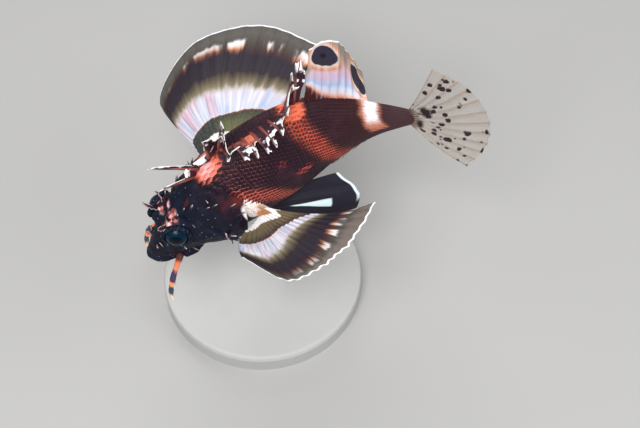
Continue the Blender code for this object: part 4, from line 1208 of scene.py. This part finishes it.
def make_pectoral_paint(side_name):
    made, shader, solid = new_material("pectoral_paint_" + side_name, roughness=0.45, coat=0.05)
    marks, k, t = ray_marks(made, PECTORAL_RAYS - 1, 3.0 if side_name == "left" else 9.0)
    band = parts(uv_map(made, "Bands"))[1]
    push = (marks["Streaks"] - 0.5) * 0.085
    soft = band + push
    firm = band + push * 0.25
    if side_name == "left":
        base = ramp(firm, ((0.0, 0.34, 0.12, 0.1), (0.03, 0.9, 0.72, 0.68), (0.055, 0.56, 0.27, 0.12),
                           (0.094, 0.5, 0.24, 0.11), (0.106, 0.97, 0.97, 0.97), (0.196, 0.97, 0.97, 0.97),
                           (0.204, 0.21, 0.145, 0.075), (0.3, 0.165, 0.13, 0.085),
                           (0.385, 0.055, 0.042, 0.036), (0.398, 0.33, 0.07, 0.035)))
    else:
        base = ramp(firm, ((0.0, 0.04, 0.01, 0.012), (0.03, 0.08, 0.02, 0.024), (0.038, 0.5, 0.34, 0.34),
                           (0.048, 0.05, 0.024, 0.03), (0.094, 0.02, 0.014, 0.016),
                           (0.106, 0.95, 0.95, 0.95), (0.193, 0.95, 0.95, 0.95),
                           (0.204, 0.165, 0.155, 0.07), (0.3, 0.115, 0.125, 0.07),
                           (0.385, 0.05, 0.052, 0.038), (0.398, 0.32, 0.06, 0.04)))
        greyed = mixed(fade(k, 0.36, 0.5), base, (0.045, 0.052, 0.05))
        base = mixed(fade(band, 0.202, 0.212) * fade(band, 0.396, 0.39), base, greyed)
    base = mixed(fade(clouds(solid, 2200.0, 3.0), 0.45, 0.7) * 0.22, base, (0.3, 0.25, 0.16))
    outer = ramp(soft, ((0.4, 0.6, 0.61, 0.7), (0.47, 0.57, 0.61, 0.72), (0.55, 0.6, 0.56, 0.66),
                        (0.585, 0.44, 0.39, 0.34), (0.61, 0.21, 0.175, 0.115), (0.64, 0.115, 0.09, 0.062),
                        (0.675, 0.034, 0.027, 0.034), (0.775, 0.027, 0.021, 0.032),
                        (0.8, 0.05, 0.026, 0.028), (0.905, 0.085, 0.076, 0.062), (0.94, 0.11, 0.1, 0.09),
                        (1.0, 0.09, 0.08, 0.072)))
    if side_name == "left":
        outer = mixed(fade(soft, 0.89, 0.95), outer, (0.18, 0.148, 0.128))
    pale = fade(soft, 0.395, 0.415) * fade(soft, 0.6, 0.56)
    veined = pale * fade(k, 0.25, 0.5)
    # The right fin takes the pale streaks more weakly, so its pale band is darker: painted shade on the far
    # fin.
    light_share = 0.75 if side_name == "left" else 0.40
    for mark, low, high, zone, share, tint in (("Blotches", 0.48, 0.62, veined, 0.75, (0.68, 0.43, 0.54)),
                                               ("Blotches", 0.46, 0.34, pale, 0.7, (0.36, 0.46, 0.68)),
                                               ("Streaks", 0.46, 0.6, pale, light_share, (0.88, 0.82, 0.84)),
                                               ("Streaks", 0.44, 0.3, veined, 0.6, (0.3, 0.22, 0.3))):
        outer = mixed(fade(marks[mark], low, high) * zone * share, outer, tint)
    spots = fade(soft, 0.775, 0.835) * fade(soft, 0.912, 0.868)
    ragged = scaled(marks["Streaks"], 0.55, marks["Blotches"] - 0.275)
    broken = fade(ragged, 0.43, 0.59) * fade(k, 0.74, 0.5)
    faint = broken * scaled(fade(k, 0.42, 0.34), 0.35, 0.65)
    glow = ramp(soft, ((0.785, 0.36, 0.12, 0.07), (0.82, 0.62, 0.3, 0.18), (0.85, 0.8, 0.66, 0.62),
                       (0.88, 0.86, 0.84, 0.88), (0.905, 0.45, 0.42, 0.48)))
    outer = mixed(spots * faint, outer, glow)
    tint = mixed(fade(firm, 0.396, 0.404), base, outer)
    tint = mixed(fade(t + push * 0.02, 0.982, 0.987), tint, (0.93, 0.94, 0.96))
    clear = fade(soft, 0.89, 0.94) * fade(t, 0.987, 0.982) * (1.0 - marks["Ray"])
    finish_fin(shader, marks, tint, 1.0 - clear * 0.12)
    return made


def paired_fin(side, root, tips, bows):
    """Tips of the rays of one of a pair of fins, by their share of the way across, and its ray_line."""
    first, last = np.array(root)
    keys = [(k, *tip) for k, tip in zip(np.linspace(0, 1, len(tips)), tips)]

    def ray_line(k):
        s, out, up = first[:, None] + (last - first)[:, None] * k
        back, aside, rise = smooth(keys, k).T
        reach = offset(s, back, side * aside, rise)
        sunk = unit(reach) * ROOT_DEPTH * STANDARD_LENGTH
        bow_back, bow_aside, bow_rise = smooth(bows, k).T
        return place(s, side * out, up) - sunk, reach + sunk, offset(s, bow_back, side * bow_aside, bow_rise)

    return keys, ray_line


def pectoral_fin(side_name, side):
    keys, ray_line = paired_fin(side, PECTORAL_ROOT, PECTORAL_TIPS[side_name], PECTORAL_BOWS[side_name])

    def bands(u, v):
        k = ray_place(u, PECTORAL_RAYS - 1)[0]
        length = np.linalg.norm(smooth(keys, k), axis=-1)
        v = (v * (length + ROOT_DEPTH) - ROOT_DEPTH) / length
        starts = smooth(PECTORAL_BANDS[side_name], k)
        knots = np.concatenate([np.zeros((len(k), 1)), starts, np.ones((len(k), 1))], axis=1)
        band = np.zeros(len(k))
        for low, wide in enumerate(np.diff(BAND_PLACES)):
            gap = np.maximum(knots[:, low + 1] - knots[:, low], 1e-4)
            band += np.clip((v - knots[:, low]) / gap, 0, 1) * wide
        return k, band

    scallop, worn = (0.016, 0.010) if side > 0 else (0.007, 0.003)
    shell = fin(PECTORAL_RAYS, PECTORAL_ROWS, ray_line, seed=11, scallop=scallop, worn=worn,
                maps={"Bands": bands})
    piece = finished("pectoral_fan_" + side_name, shell, make_pectoral_paint(side_name))
    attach(piece, "root")
    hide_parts("pectoral_fin_" + side_name)


for side_name, side in SIDES:
    pectoral_fin(side_name, side)

# Pelvic fins
# A smaller pair of dark fins hangs under the breast, cast thin and let into the skin. Each has a clean pale
# streak that widens along its middle rays like a wedge, and a thin white corner on the rim.
PELVIC_RAYS = 6
PELVIC_ROWS = 64
PELVIC_ROOT = ((0.368, 0.054, -0.136), (0.392, 0.034, -0.15))
PELVIC_TIPS = ((0.12, 0.06, -0.2), (0.22, 0.07, -0.23), (0.275, 0.05, -0.184), (0.254, 0.002, -0.085))
PELVIC_BOWS = ((-1.0, 0.0, 0.045, -0.025), (2.0, 0.0, -0.03, 0.05))


def make_pelvic_paint():
    made, shader = new_material("pelvic_paint", roughness=0.45, coat=0.03)[:2]
    marks, k, t = ray_marks(made, PELVIC_RAYS - 1, 5.0)
    dark = mixed(marks["Blotches"], (0.01, 0.009, 0.016), (0.028, 0.027, 0.042))
    dark = mixed(fade(t, 0.26, 0.05) * 0.7, dark, (0.1, 0.028, 0.034))
    uneven = scaled(marks["Streaks"], 0.05, t - 0.025)
    wide = scaled(fade(uneven, 0.3, 0.74), 0.066, 0.01)
    off = abs(k - 0.535) - wide
    streak = fade(off, 0.012, -0.008) * fade(uneven, 0.3, 0.37) * fade(uneven, 0.735, 0.712)
    tint = mixed(streak, dark, mixed(marks["Streaks"], (0.55, 0.8, 0.84), (0.9, 0.96, 0.96)))
    tint = mixed(fade(t, 0.955, 0.972) * fade(k, 0.5, 0.62), tint, (0.8, 0.9, 0.93))
    finish_fin(shader, marks, tint)
    return made


PELVIC_PAINT = make_pelvic_paint()


def pelvic_fin(side_name, side):
    ray_line = paired_fin(side, PELVIC_ROOT, PELVIC_TIPS, PELVIC_BOWS)[1]
    shell = fin(PELVIC_RAYS, PELVIC_ROWS, ray_line, seed=21, scallop=0.012)
    piece = finished("pelvic_fan_" + side_name, shell, PELVIC_PAINT)
    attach(piece, "root")
    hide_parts("pelvic_fin_" + side_name)


for side_name, side in SIDES:
    pelvic_fin(side_name, side)

# Spiny dorsal fin
# Thirteen tall spines stand along the back, let into it, each with its own flag of web behind it, notched
# deep before the next. The web is dark with orange patches and a ragged white rim, and each flag has a
# dark spot.
DORSAL_SPINES = 13
DORSAL_PARTS = {"dorsal_fin_front": (1, 3), "dorsal_fin_middle": (4, 10), "dorsal_fin_rear": (11, 13)}
DORSAL_BASE = (0.325, 0.646)
DORSAL_TIPS = ((0.0, -0.076, 0.062, 0.127), (0.09, -0.095, 0.005, 0.165), (0.17, 0.062, 0.039, 0.142),
               (0.25, 0.106, 0.026, 0.143), (0.33, 0.03, 0.155, 0.123), (0.42, 0.037, 0.175, 0.09),
               (0.58, 0.03, 0.18, 0.05), (0.75, 0.023, 0.165, 0.062), (0.84, 0.034, 0.118, 0.086),
               (0.92, 0.07, 0.031, 0.151), (1.0, 0.062, 0.005, 0.157))
DORSAL_BOW = 0.004
MEDIAN_DEPTH = 0.018
FLAG_COLUMNS = 22
FLAG_ROWS = 40
# Outline of the web behind a spine: place in the gap, then its share of the spine's height.
FLAG_OUTLINE = ((0.0, 0.985), (0.1, 0.95), (0.22, 0.9), (0.32, 0.82), (0.4, 0.7), (0.5, 0.62), (0.62, 0.58),
                (0.8, 0.56), (1.0, 0.57))
SLIM_FLAGS = 2
FLAG_WANDER = 0.20
FLAG_THICKNESS = 0.00016
BONE_RADIUS = 0.00052
BONE_GRID = (30, 14)


def median_ray(tips, base, k, below=False):
    """Root, reach and station of rays of a dorsal or anal fin, for k from 0 (first) to 1 (last)."""
    s = base[0] + (base[1] - base[0]) * k
    rows = smooth(PROFILE, s)
    edge = -rows[..., 1] if below else rows[..., 0]
    root = place(s, 0 * s, edge + MEDIAN_DEPTH if below else edge - MEDIAN_DEPTH)
    return root, place(s, 0 * s, edge) + offset(s, *smooth(tips, k).T) - root, s


def make_spiny_paint():
    made, shader, solid = new_material("spiny_dorsal_paint", roughness=0.45, coat=0.05)
    spot = wavered(uv_map(made, "Flag"), 0.0024, 0.24)
    k, t = parts(spot)[:2]
    cloud = clouds(solid, 420.0, 4.0)
    fine = clouds(solid, 1500.0, 3.0)
    dark = mixed(cloud, (0.016, 0.007, 0.016), (0.066, 0.022, 0.036))
    rust = most(patch(spot, (6.3, 0.28), (0.72, 0.19), soft=0.4),
                patch(spot, (4.2, 0.14), (1.5, 0.09), soft=0.6) * 0.6)
    tint = mixed(rust, dark, mixed(fine, (0.5, 0.08, 0.045), (0.84, 0.26, 0.17)))
    ragged = scaled(cloud, 0.9, parts(uv_map(made, "Rim"))[1] - 0.45)
    pale = fade(ragged, 0.8, 0.88) * fade(t, 0.28, 0.4)
    bar = fade(t, 0.38, 0.44) * fade(t, 0.6, 0.54)
    pale = most(pale, bar * fade(cloud, 0.52, 0.6))
    tint = mixed(pale, tint, (0.93, 0.91, 0.9))
    eye = patch(vector(maths("FRACT", k), t), (0.3, 0.76), (0.16, 0.06))
    tint = mixed(eye, tint, (0.02, 0.008, 0.014))
    spine_tint = ramp(t, ((0.0, 0.06, 0.016, 0.018), (0.22, 0.22, 0.06, 0.05), (0.48, 0.28, 0.1, 0.08),
                          (0.72, 0.06, 0.026, 0.034), (0.88, 0.3, 0.22, 0.21), (1.0, 0.92, 0.88, 0.86)))
    bone = add(made.node_tree, "Attribute", attribute_name="bone")["Fac"]
    feed(shader, "Base Color", mixed(bone, tint, spine_tint))
    feed(shader, "Roughness", scaled(fine, 0.3, 0.22))
    relieved(shader, fine, strength=0.4, depth=0.00006)
    return made


SPINY_PAINT = make_spiny_paint()


def dorsal_spine(number):
    """Root, reach and station of a spine, for numbers 0 to 12."""
    root, reach, s = median_ray(DORSAL_TIPS, DORSAL_BASE, np.array([number / (DORSAL_SPINES - 1)]))
    return root[0], reach[0], float(s[0])


def flag(number):
    """The web behind one spine, as far as the next."""
    stem_tip = sum(dorsal_spine(number)[:2])
    last = number == DORSAL_SPINES - 1
    gap_places, shares = np.array(FLAG_OUTLINE).T
    narrow = 3.0 if number < SLIM_FLAGS else 1.0

    def lay(u, v, face):
        behind = u * (0.62 if last else 1.0)
        k = (number + behind) * (1.0 / (DORSAL_SPINES - 1))
        inside = np.minimum(k, 1.0)
        root, reach, s = median_ray(DORSAL_TIPS, DORSAL_BASE, inside)
        beyond = np.maximum(k - 1.0, 0.0)
        root = root + offset(s, beyond * (DORSAL_BASE[1] - DORSAL_BASE[0]), 0 * s, 0 * s)
        pull = (0.35 * step(behind, 0, 0.34) * (1 - step(behind, 0.40, 0.75)))[:, None]
        trail = offset(s, behind * 0.02 + beyond * 0.3, 0 * s, 0 * s)
        tip = root + reach + (stem_tip - root - reach) * pull + trail
        share = np.interp(behind * narrow, gap_places, shares)
        share = share * (1 + FLAG_WANDER * np.sin(2.7 * number + 1) * step(behind, 0.08, 0.30))
        if number < SLIM_FLAGS:
            share = share * (1 - 0.45 * step(behind, 0.05, 0.30))
        wave = 0.012 * np.sin(9 * v + 2.2 * number)
        t = v * share
        bowed = offset(s, DORSAL_BOW * np.sin(np.pi * t), wave * behind * v, 0 * s)
        spots = root + (tip - root) * t[:, None] + bowed
        grid = spots.reshape(FLAG_ROWS + 1, FLAG_COLUMNS + 1, 3)
        return spots + grid_normals(grid).reshape(-1, 3) * (face * FLAG_THICKNESS / 2 * within(u, v))[:, None]

    maps = {"Flag": lambda u, v: (number + u * 0.999, v * np.interp(u, gap_places, shares)),
            "Rim": along_piece}
    return two_faced(FLAG_COLUMNS, FLAG_ROWS, lay, maps)


def bony_spine(number):
    root, reach, s = dorsal_spine(number)
    bow = offset(np.array([s]), DORSAL_BOW, 0.0, 0.0)[0]

    def path(u):
        u = np.asarray(u)[:, None]
        return root + reach * u + bow * np.sin(np.pi * u)

    def radii(u):
        return BONE_RADIUS * (1 - 0.72 * u) * tapered(u, 0.03, 0.01)

    maps = {"Flag": lambda u, v: (number + 0.0 * u, u), "Rim": lambda u, v: (0.0 * u, 0.0 * v)}
    return tube(path, radii, BONE_GRID, 1.0, (0.83, 0.47, 0.29), maps)


def marked_bone(shell, value):
    layer = shell.verts.layers.float.new("bone")
    for vertex in shell.verts:
        vertex[layer] = value
    return shell


for node, (first, last) in DORSAL_PARTS.items():
    shells = [marked_bone(flag(number), 0.0) for number in range(first - 1, last)]
    shells += [marked_bone(bony_spine(number), 1.0) for number in range(first - 1, last)]
    piece = finished(node + "_web", gathered(shells), SPINY_PAINT)
    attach(piece, "root")
    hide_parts(node)

# Soft dorsal fin
# The rear fin of the back is a rounded fan of nine soft rays, let into the back. It carries the two eye
# spots, each a black disc in a cream ring edged with orange, over a pale blue band.
SOFT_DORSAL_RAYS = 9
SOFT_DORSAL_ROWS = 84
SOFT_DORSAL_BASE = (0.68, 0.865)
SOFT_DORSAL_TIPS = ((0.0, 0.078, -0.018, 0.172), (0.25, 0.062, -0.01, 0.212), (0.5, 0.056, -0.02, 0.206),
                    (0.75, 0.02, -0.09, 0.12), (1.0, -0.01, -0.115, 0.035))
EYE_SPOTS = (((0.267, 0.775), (0.236, 0.151), 0.449), ((0.89, 0.575), (0.1, 0.285), -0.22))


def make_soft_dorsal_paint():
    made, shader = new_material("soft_dorsal_paint", roughness=0.45, coat=0.05)[:2]
    marks, k, t = ray_marks(made, SOFT_DORSAL_RAYS - 1, 2.0)
    uneven = wavered(uv_map(made, "Rays"), 0.002, 0.022)
    blue = curve(k, ((0.0, 0.445), (0.1, 0.41), (0.2, 0.33), (0.4, 0.29), (0.6, 0.33), (0.8, 0.32),
                     (1.0, 0.3)))
    narrow = curve(k, ((0.0, 0.88), (0.1, 0.57), (0.3, 0.44), (0.5, 0.33), (1.0, 0.33)))
    height = scaled((t - blue + (marks["Streaks"] - 0.5) * 0.035) * narrow, 2.5, 0.5)
    tint = ramp(height, ((0.18, 0.055, 0.014, 0.014), (0.265, 0.15, 0.032, 0.024),
                         (0.3, 0.52, 0.17, 0.11), (0.335, 0.72, 0.42, 0.33), (0.38, 0.7, 0.62, 0.66),
                         (0.44, 0.58, 0.62, 0.78), (0.5, 0.38, 0.48, 0.66), (0.56, 0.48, 0.46, 0.64),
                         (0.62, 0.58, 0.42, 0.56), (0.72, 0.6, 0.44, 0.51), (0.82, 0.38, 0.31, 0.28),
                         (1.0, 0.3, 0.255, 0.21)))
    mist = fade(marks["Streaks"], 0.5, 0.7) * 0.3
    tint = mixed(mist, tint, mixed(fade(height, 0.68, 0.84), (0.7, 0.72, 0.84), (0.3, 0.27, 0.22)))
    glow = mixed(fade(marks["Streaks"], 0.4, 0.6), (0.58, 0.18, 0.09), (0.72, 0.36, 0.21))
    rings = ((1.46, 0.16, glow), (1.22, 0.14, (0.62, 0.52, 0.46)),
             (1.0, 0.05, (0.03, 0.026, 0.043)), (0.22, 0.5, (0.012, 0.01, 0.017)))
    for centre_at, half, lean in EYE_SPOTS:
        for grow, soft, colour in rings:
            grown = tuple(side * grow for side in half)
            tint = mixed(patch(uneven, centre_at, grown, lean, soft), tint, colour)
    tint = mixed(fade(t, 0.968, 0.985), tint, (0.8, 0.84, 0.92))
    finish_fin(shader, marks, tint)
    return made


def soft_dorsal_line(k):
    root, reach, s = median_ray(SOFT_DORSAL_TIPS, SOFT_DORSAL_BASE, k)
    return root, reach, offset(s, 0 * s, 0.012 + 0 * s, 0.008 + 0 * s)


soft_shell = fin(SOFT_DORSAL_RAYS, SOFT_DORSAL_ROWS, soft_dorsal_line, seed=31, scallop=0.012)
soft_dorsal = finished("soft_dorsal_fan", soft_shell, make_soft_dorsal_paint())
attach(soft_dorsal, "root")
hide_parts("dorsal_fin_soft")

# Anal fin
# The fin under the tail root mirrors the soft dorsal fin and is let in like it. It is olive and pale,
# crossed by dark and orange bars.
ANAL_RAYS = 8
ANAL_ROWS = 64
ANAL_BASE = (0.665, 0.85)
ANAL_TIPS = ((0.0, 0.05, -0.06, -0.08), (0.3, 0.1, -0.095, -0.085), (0.7, 0.115, -0.105, -0.065),
             (1.0, 0.095, -0.085, -0.035))


def make_anal_paint():
    made, shader = new_material("anal_fin_paint", roughness=0.45, coat=0.05)[:2]
    marks, _, t = ray_marks(made, ANAL_RAYS - 1, 7.0)
    height = t + (marks["Streaks"] - 0.5) * 0.12
    tint = ramp(height, ((0.0, 0.12, 0.022, 0.018), (0.18, 0.34, 0.075, 0.035), (0.24, 0.82, 0.8, 0.8),
                         (0.33, 0.56, 0.62, 0.74), (0.42, 0.2, 0.15, 0.075), (0.5, 0.04, 0.02, 0.022),
                         (0.62, 0.03, 0.014, 0.02), (0.68, 0.52, 0.17, 0.08), (0.76, 0.8, 0.72, 0.66),
                         (0.84, 0.18, 0.14, 0.1), (1.0, 0.16, 0.14, 0.11)))
    tint = mixed(fade(t, 0.972, 0.984), tint, (0.85, 0.88, 0.92))
    finish_fin(shader, marks, tint)
    return made


def anal_line(k):
    root, reach, s = median_ray(ANAL_TIPS, ANAL_BASE, k, below=True)
    return root, reach, offset(s, 0 * s, 0.010 + 0 * s, 0 * s)


anal_shell = fin(ANAL_RAYS, ANAL_ROWS, anal_line, seed=41, scallop=0.02)
anal_fan = finished("anal_fan", anal_shell, make_anal_paint())
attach(anal_fan, "root")
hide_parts("anal_fin")

# Tail fin
# The tail fin is a rounded fan of branched rays in a web that is almost clear, let into the tail root. It has
# rows of dark brown spots across the rays and dark blots near its foot.
CAUDAL_RAYS = 12
CAUDAL_ROWS = 84
CAUDAL_ROOT_HALF = 0.027
CAUDAL_TIPS = ((0.0, 0.09, 0.04, 0.228), (0.25, 0.19, 0.05, 0.171), (0.5, 0.25, 0.06, 0.06),
               (0.75, 0.235, 0.06, -0.061), (1.0, 0.165, 0.055, -0.148))


def make_caudal_paint():
    made, shader = new_material("tail_fin_paint", roughness=0.45, coat=0.05)[:2]
    marks, k, t = ray_marks(made, CAUDAL_RAYS - 1, 4.0)
    sockets = {"Vector": vector(k * float(CAUDAL_RAYS - 1) * 0.9, t * 7.5), "Scale": 1.35, "Randomness": 0.85}
    dots = add(made.node_tree, "TexVoronoi", sockets)
    size = scaled(parts(dots["Color"])[0], 0.36, 0.1)
    far = dots["Distance"] + scaled(marks["Streaks"], 0.4, -0.2) - size
    spots = fade(far, 0.05, -0.03) * fade(t, 0.1, 0.16)
    web = mixed(marks["Streaks"], (0.3, 0.25, 0.2), (0.55, 0.5, 0.44))
    web = mixed(fade(t, 0.16, 0.06), web, (0.04, 0.014, 0.014))
    bone = mixed(marks["Ray"], web, (0.46, 0.34, 0.26))
    uneven = wavered(uv_map(made, "Rays"), 0.002, 0.05)
    blot = most(patch(uneven, (0.33, 0.27), (0.13, 0.075), soft=0.4),
                patch(uneven, (0.7, 0.15), (0.16, 0.05), soft=0.5))
    tint = mixed(most(spots, blot), bone, (0.03, 0.014, 0.02))
    solid_part = most(spots, blot, marks["Ray"] * 0.5)
    alpha = most(scaled(solid_part, 0.62, 0.3), fade(t, 0.2, 0.06))
    finish_fin(shader, marks, tint, alpha)
    return made


def caudal_line(k):
    up = CAUDAL_ROOT_HALF * (1 - 2 * k)
    root = place(0.985 + 0 * k, 0 * k, up)
    tip = place(1.0 + 0 * k, 0 * k, up) + offset(1.0 + 0 * k, *smooth(CAUDAL_TIPS, k).T)
    return root, tip - root, offset(1.0 + 0 * k, 0 * k, 0.012 + 0 * k, 0 * k)


caudal_shell = fin(CAUDAL_RAYS, CAUDAL_ROWS, caudal_line, seed=51, scallop=0.015, ray=0.00036)
caudal_fan = finished("tail_fan", caudal_shell, make_caudal_paint())
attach(caudal_fan, "root")
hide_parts("caudal_fin")

# Stand
# The fish is held by one round steel rod over a turned metal base with a broken top edge. The base is
# sprayed a fine textured pale grey, and the rod is brushed along its length.


def make_base_paint():
    made, shader, solid = new_material("base_paint", roughness=0.5)
    cloud = clouds(solid, 90.0, 6.0)
    tint = mixed(cloud, (0.43, 0.43, 0.42), (0.49, 0.49, 0.48))
    feed(shader, "Base Color", tint)
    spray = clouds(solid, 3800.0, 2.0)
    feed(shader, "Roughness", scaled(spray, 0.3, 0.33))
    relieved(shader, spray, strength=0.35, depth=0.00005)
    return made


def make_rod_steel():
    made, shader, solid = new_material("rod_steel", roughness=0.3)
    feed(shader, "Metallic", 1.0)
    drawn = add(solid.tree, "Mapping", {"Vector": solid, "Scale": (6000.0, 6000.0, 120.0)})[0]
    lines = clouds(drawn, 1.0, 3.0)
    tint = mixed(lines, (0.42, 0.42, 0.43), (0.62, 0.62, 0.63))
    feed(shader, "Base Color", tint)
    feed(shader, "Roughness", scaled(lines, 0.25, 0.18))
    return made


for node, look in (("stand_base", make_base_paint()), ("stand_rod", make_rod_steel())):
    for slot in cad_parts[node].material_slots:
        slot.material = look

# Floor, light and camera
# A pale seamless floor lies under the stand, lit by three soft boxes and a dim even sky. The camera
# stands above and to the left of the fish, as in the photograph.
FLOOR_HALF = 1.5
CAMERA_PLACE = (-0.0453, -0.1862, 0.3176)
CAMERA_TURN = (34.151, 0.0, -18.7)
CAMERA_LENS = 70.0
WORLD_STRENGTH = 0.28
SOFT_BOXES = (((-0.22, -0.34, 0.6), 0.34, 5.4), ((0.42, -0.22, 0.34), 0.4, 1.1),
              ((0.05, 0.42, 0.42), 0.4, 1.5))


def make_floor_paint():
    made, shader, solid = new_material("floor_paint", roughness=0.7)
    cloud = clouds(solid, 6.0, 3.0)
    feed(shader, "Base Color", mixed(cloud, (0.4, 0.395, 0.385), (0.43, 0.425, 0.415)))
    return made


ground = bmesh.new()
bmesh.ops.create_grid(ground, x_segments=1, y_segments=1, size=FLOOR_HALF)
floor = finished("floor", ground, make_floor_paint())

for index, (spot, size, power) in enumerate(SOFT_BOXES):
    lamp = bpy.data.lights.new("soft_box_%d" % index, "AREA")
    lamp.shape = "SQUARE"
    lamp.size = size
    lamp.energy = power
    box = bpy.data.objects.new(lamp.name, lamp)
    box.location = spot
    box.rotation_euler = (Vector((0.0, 0.0, LIFT)) - Vector(spot)).to_track_quat("-Z", "Y").to_euler()
    bpy.context.scene.collection.objects.link(box)

world = bpy.data.worlds.new("studio")
world.use_nodes = True
feed(world.node_tree.nodes["Background"], "Color", (0.86, 0.88, 0.92, 1.0))
feed(world.node_tree.nodes["Background"], "Strength", WORLD_STRENGTH)
bpy.context.scene.world = world
bpy.context.scene.view_settings.view_transform = "Standard"

lens = bpy.data.cameras.new("camera")
lens.lens = CAMERA_LENS
lens.clip_start = 0.01
lens.clip_end = 10.0
camera = bpy.data.objects.new("camera", lens)
camera.location = CAMERA_PLACE
camera.rotation_euler = np.radians(CAMERA_TURN)
bpy.context.scene.collection.objects.link(camera)
bpy.context.scene.camera = camera
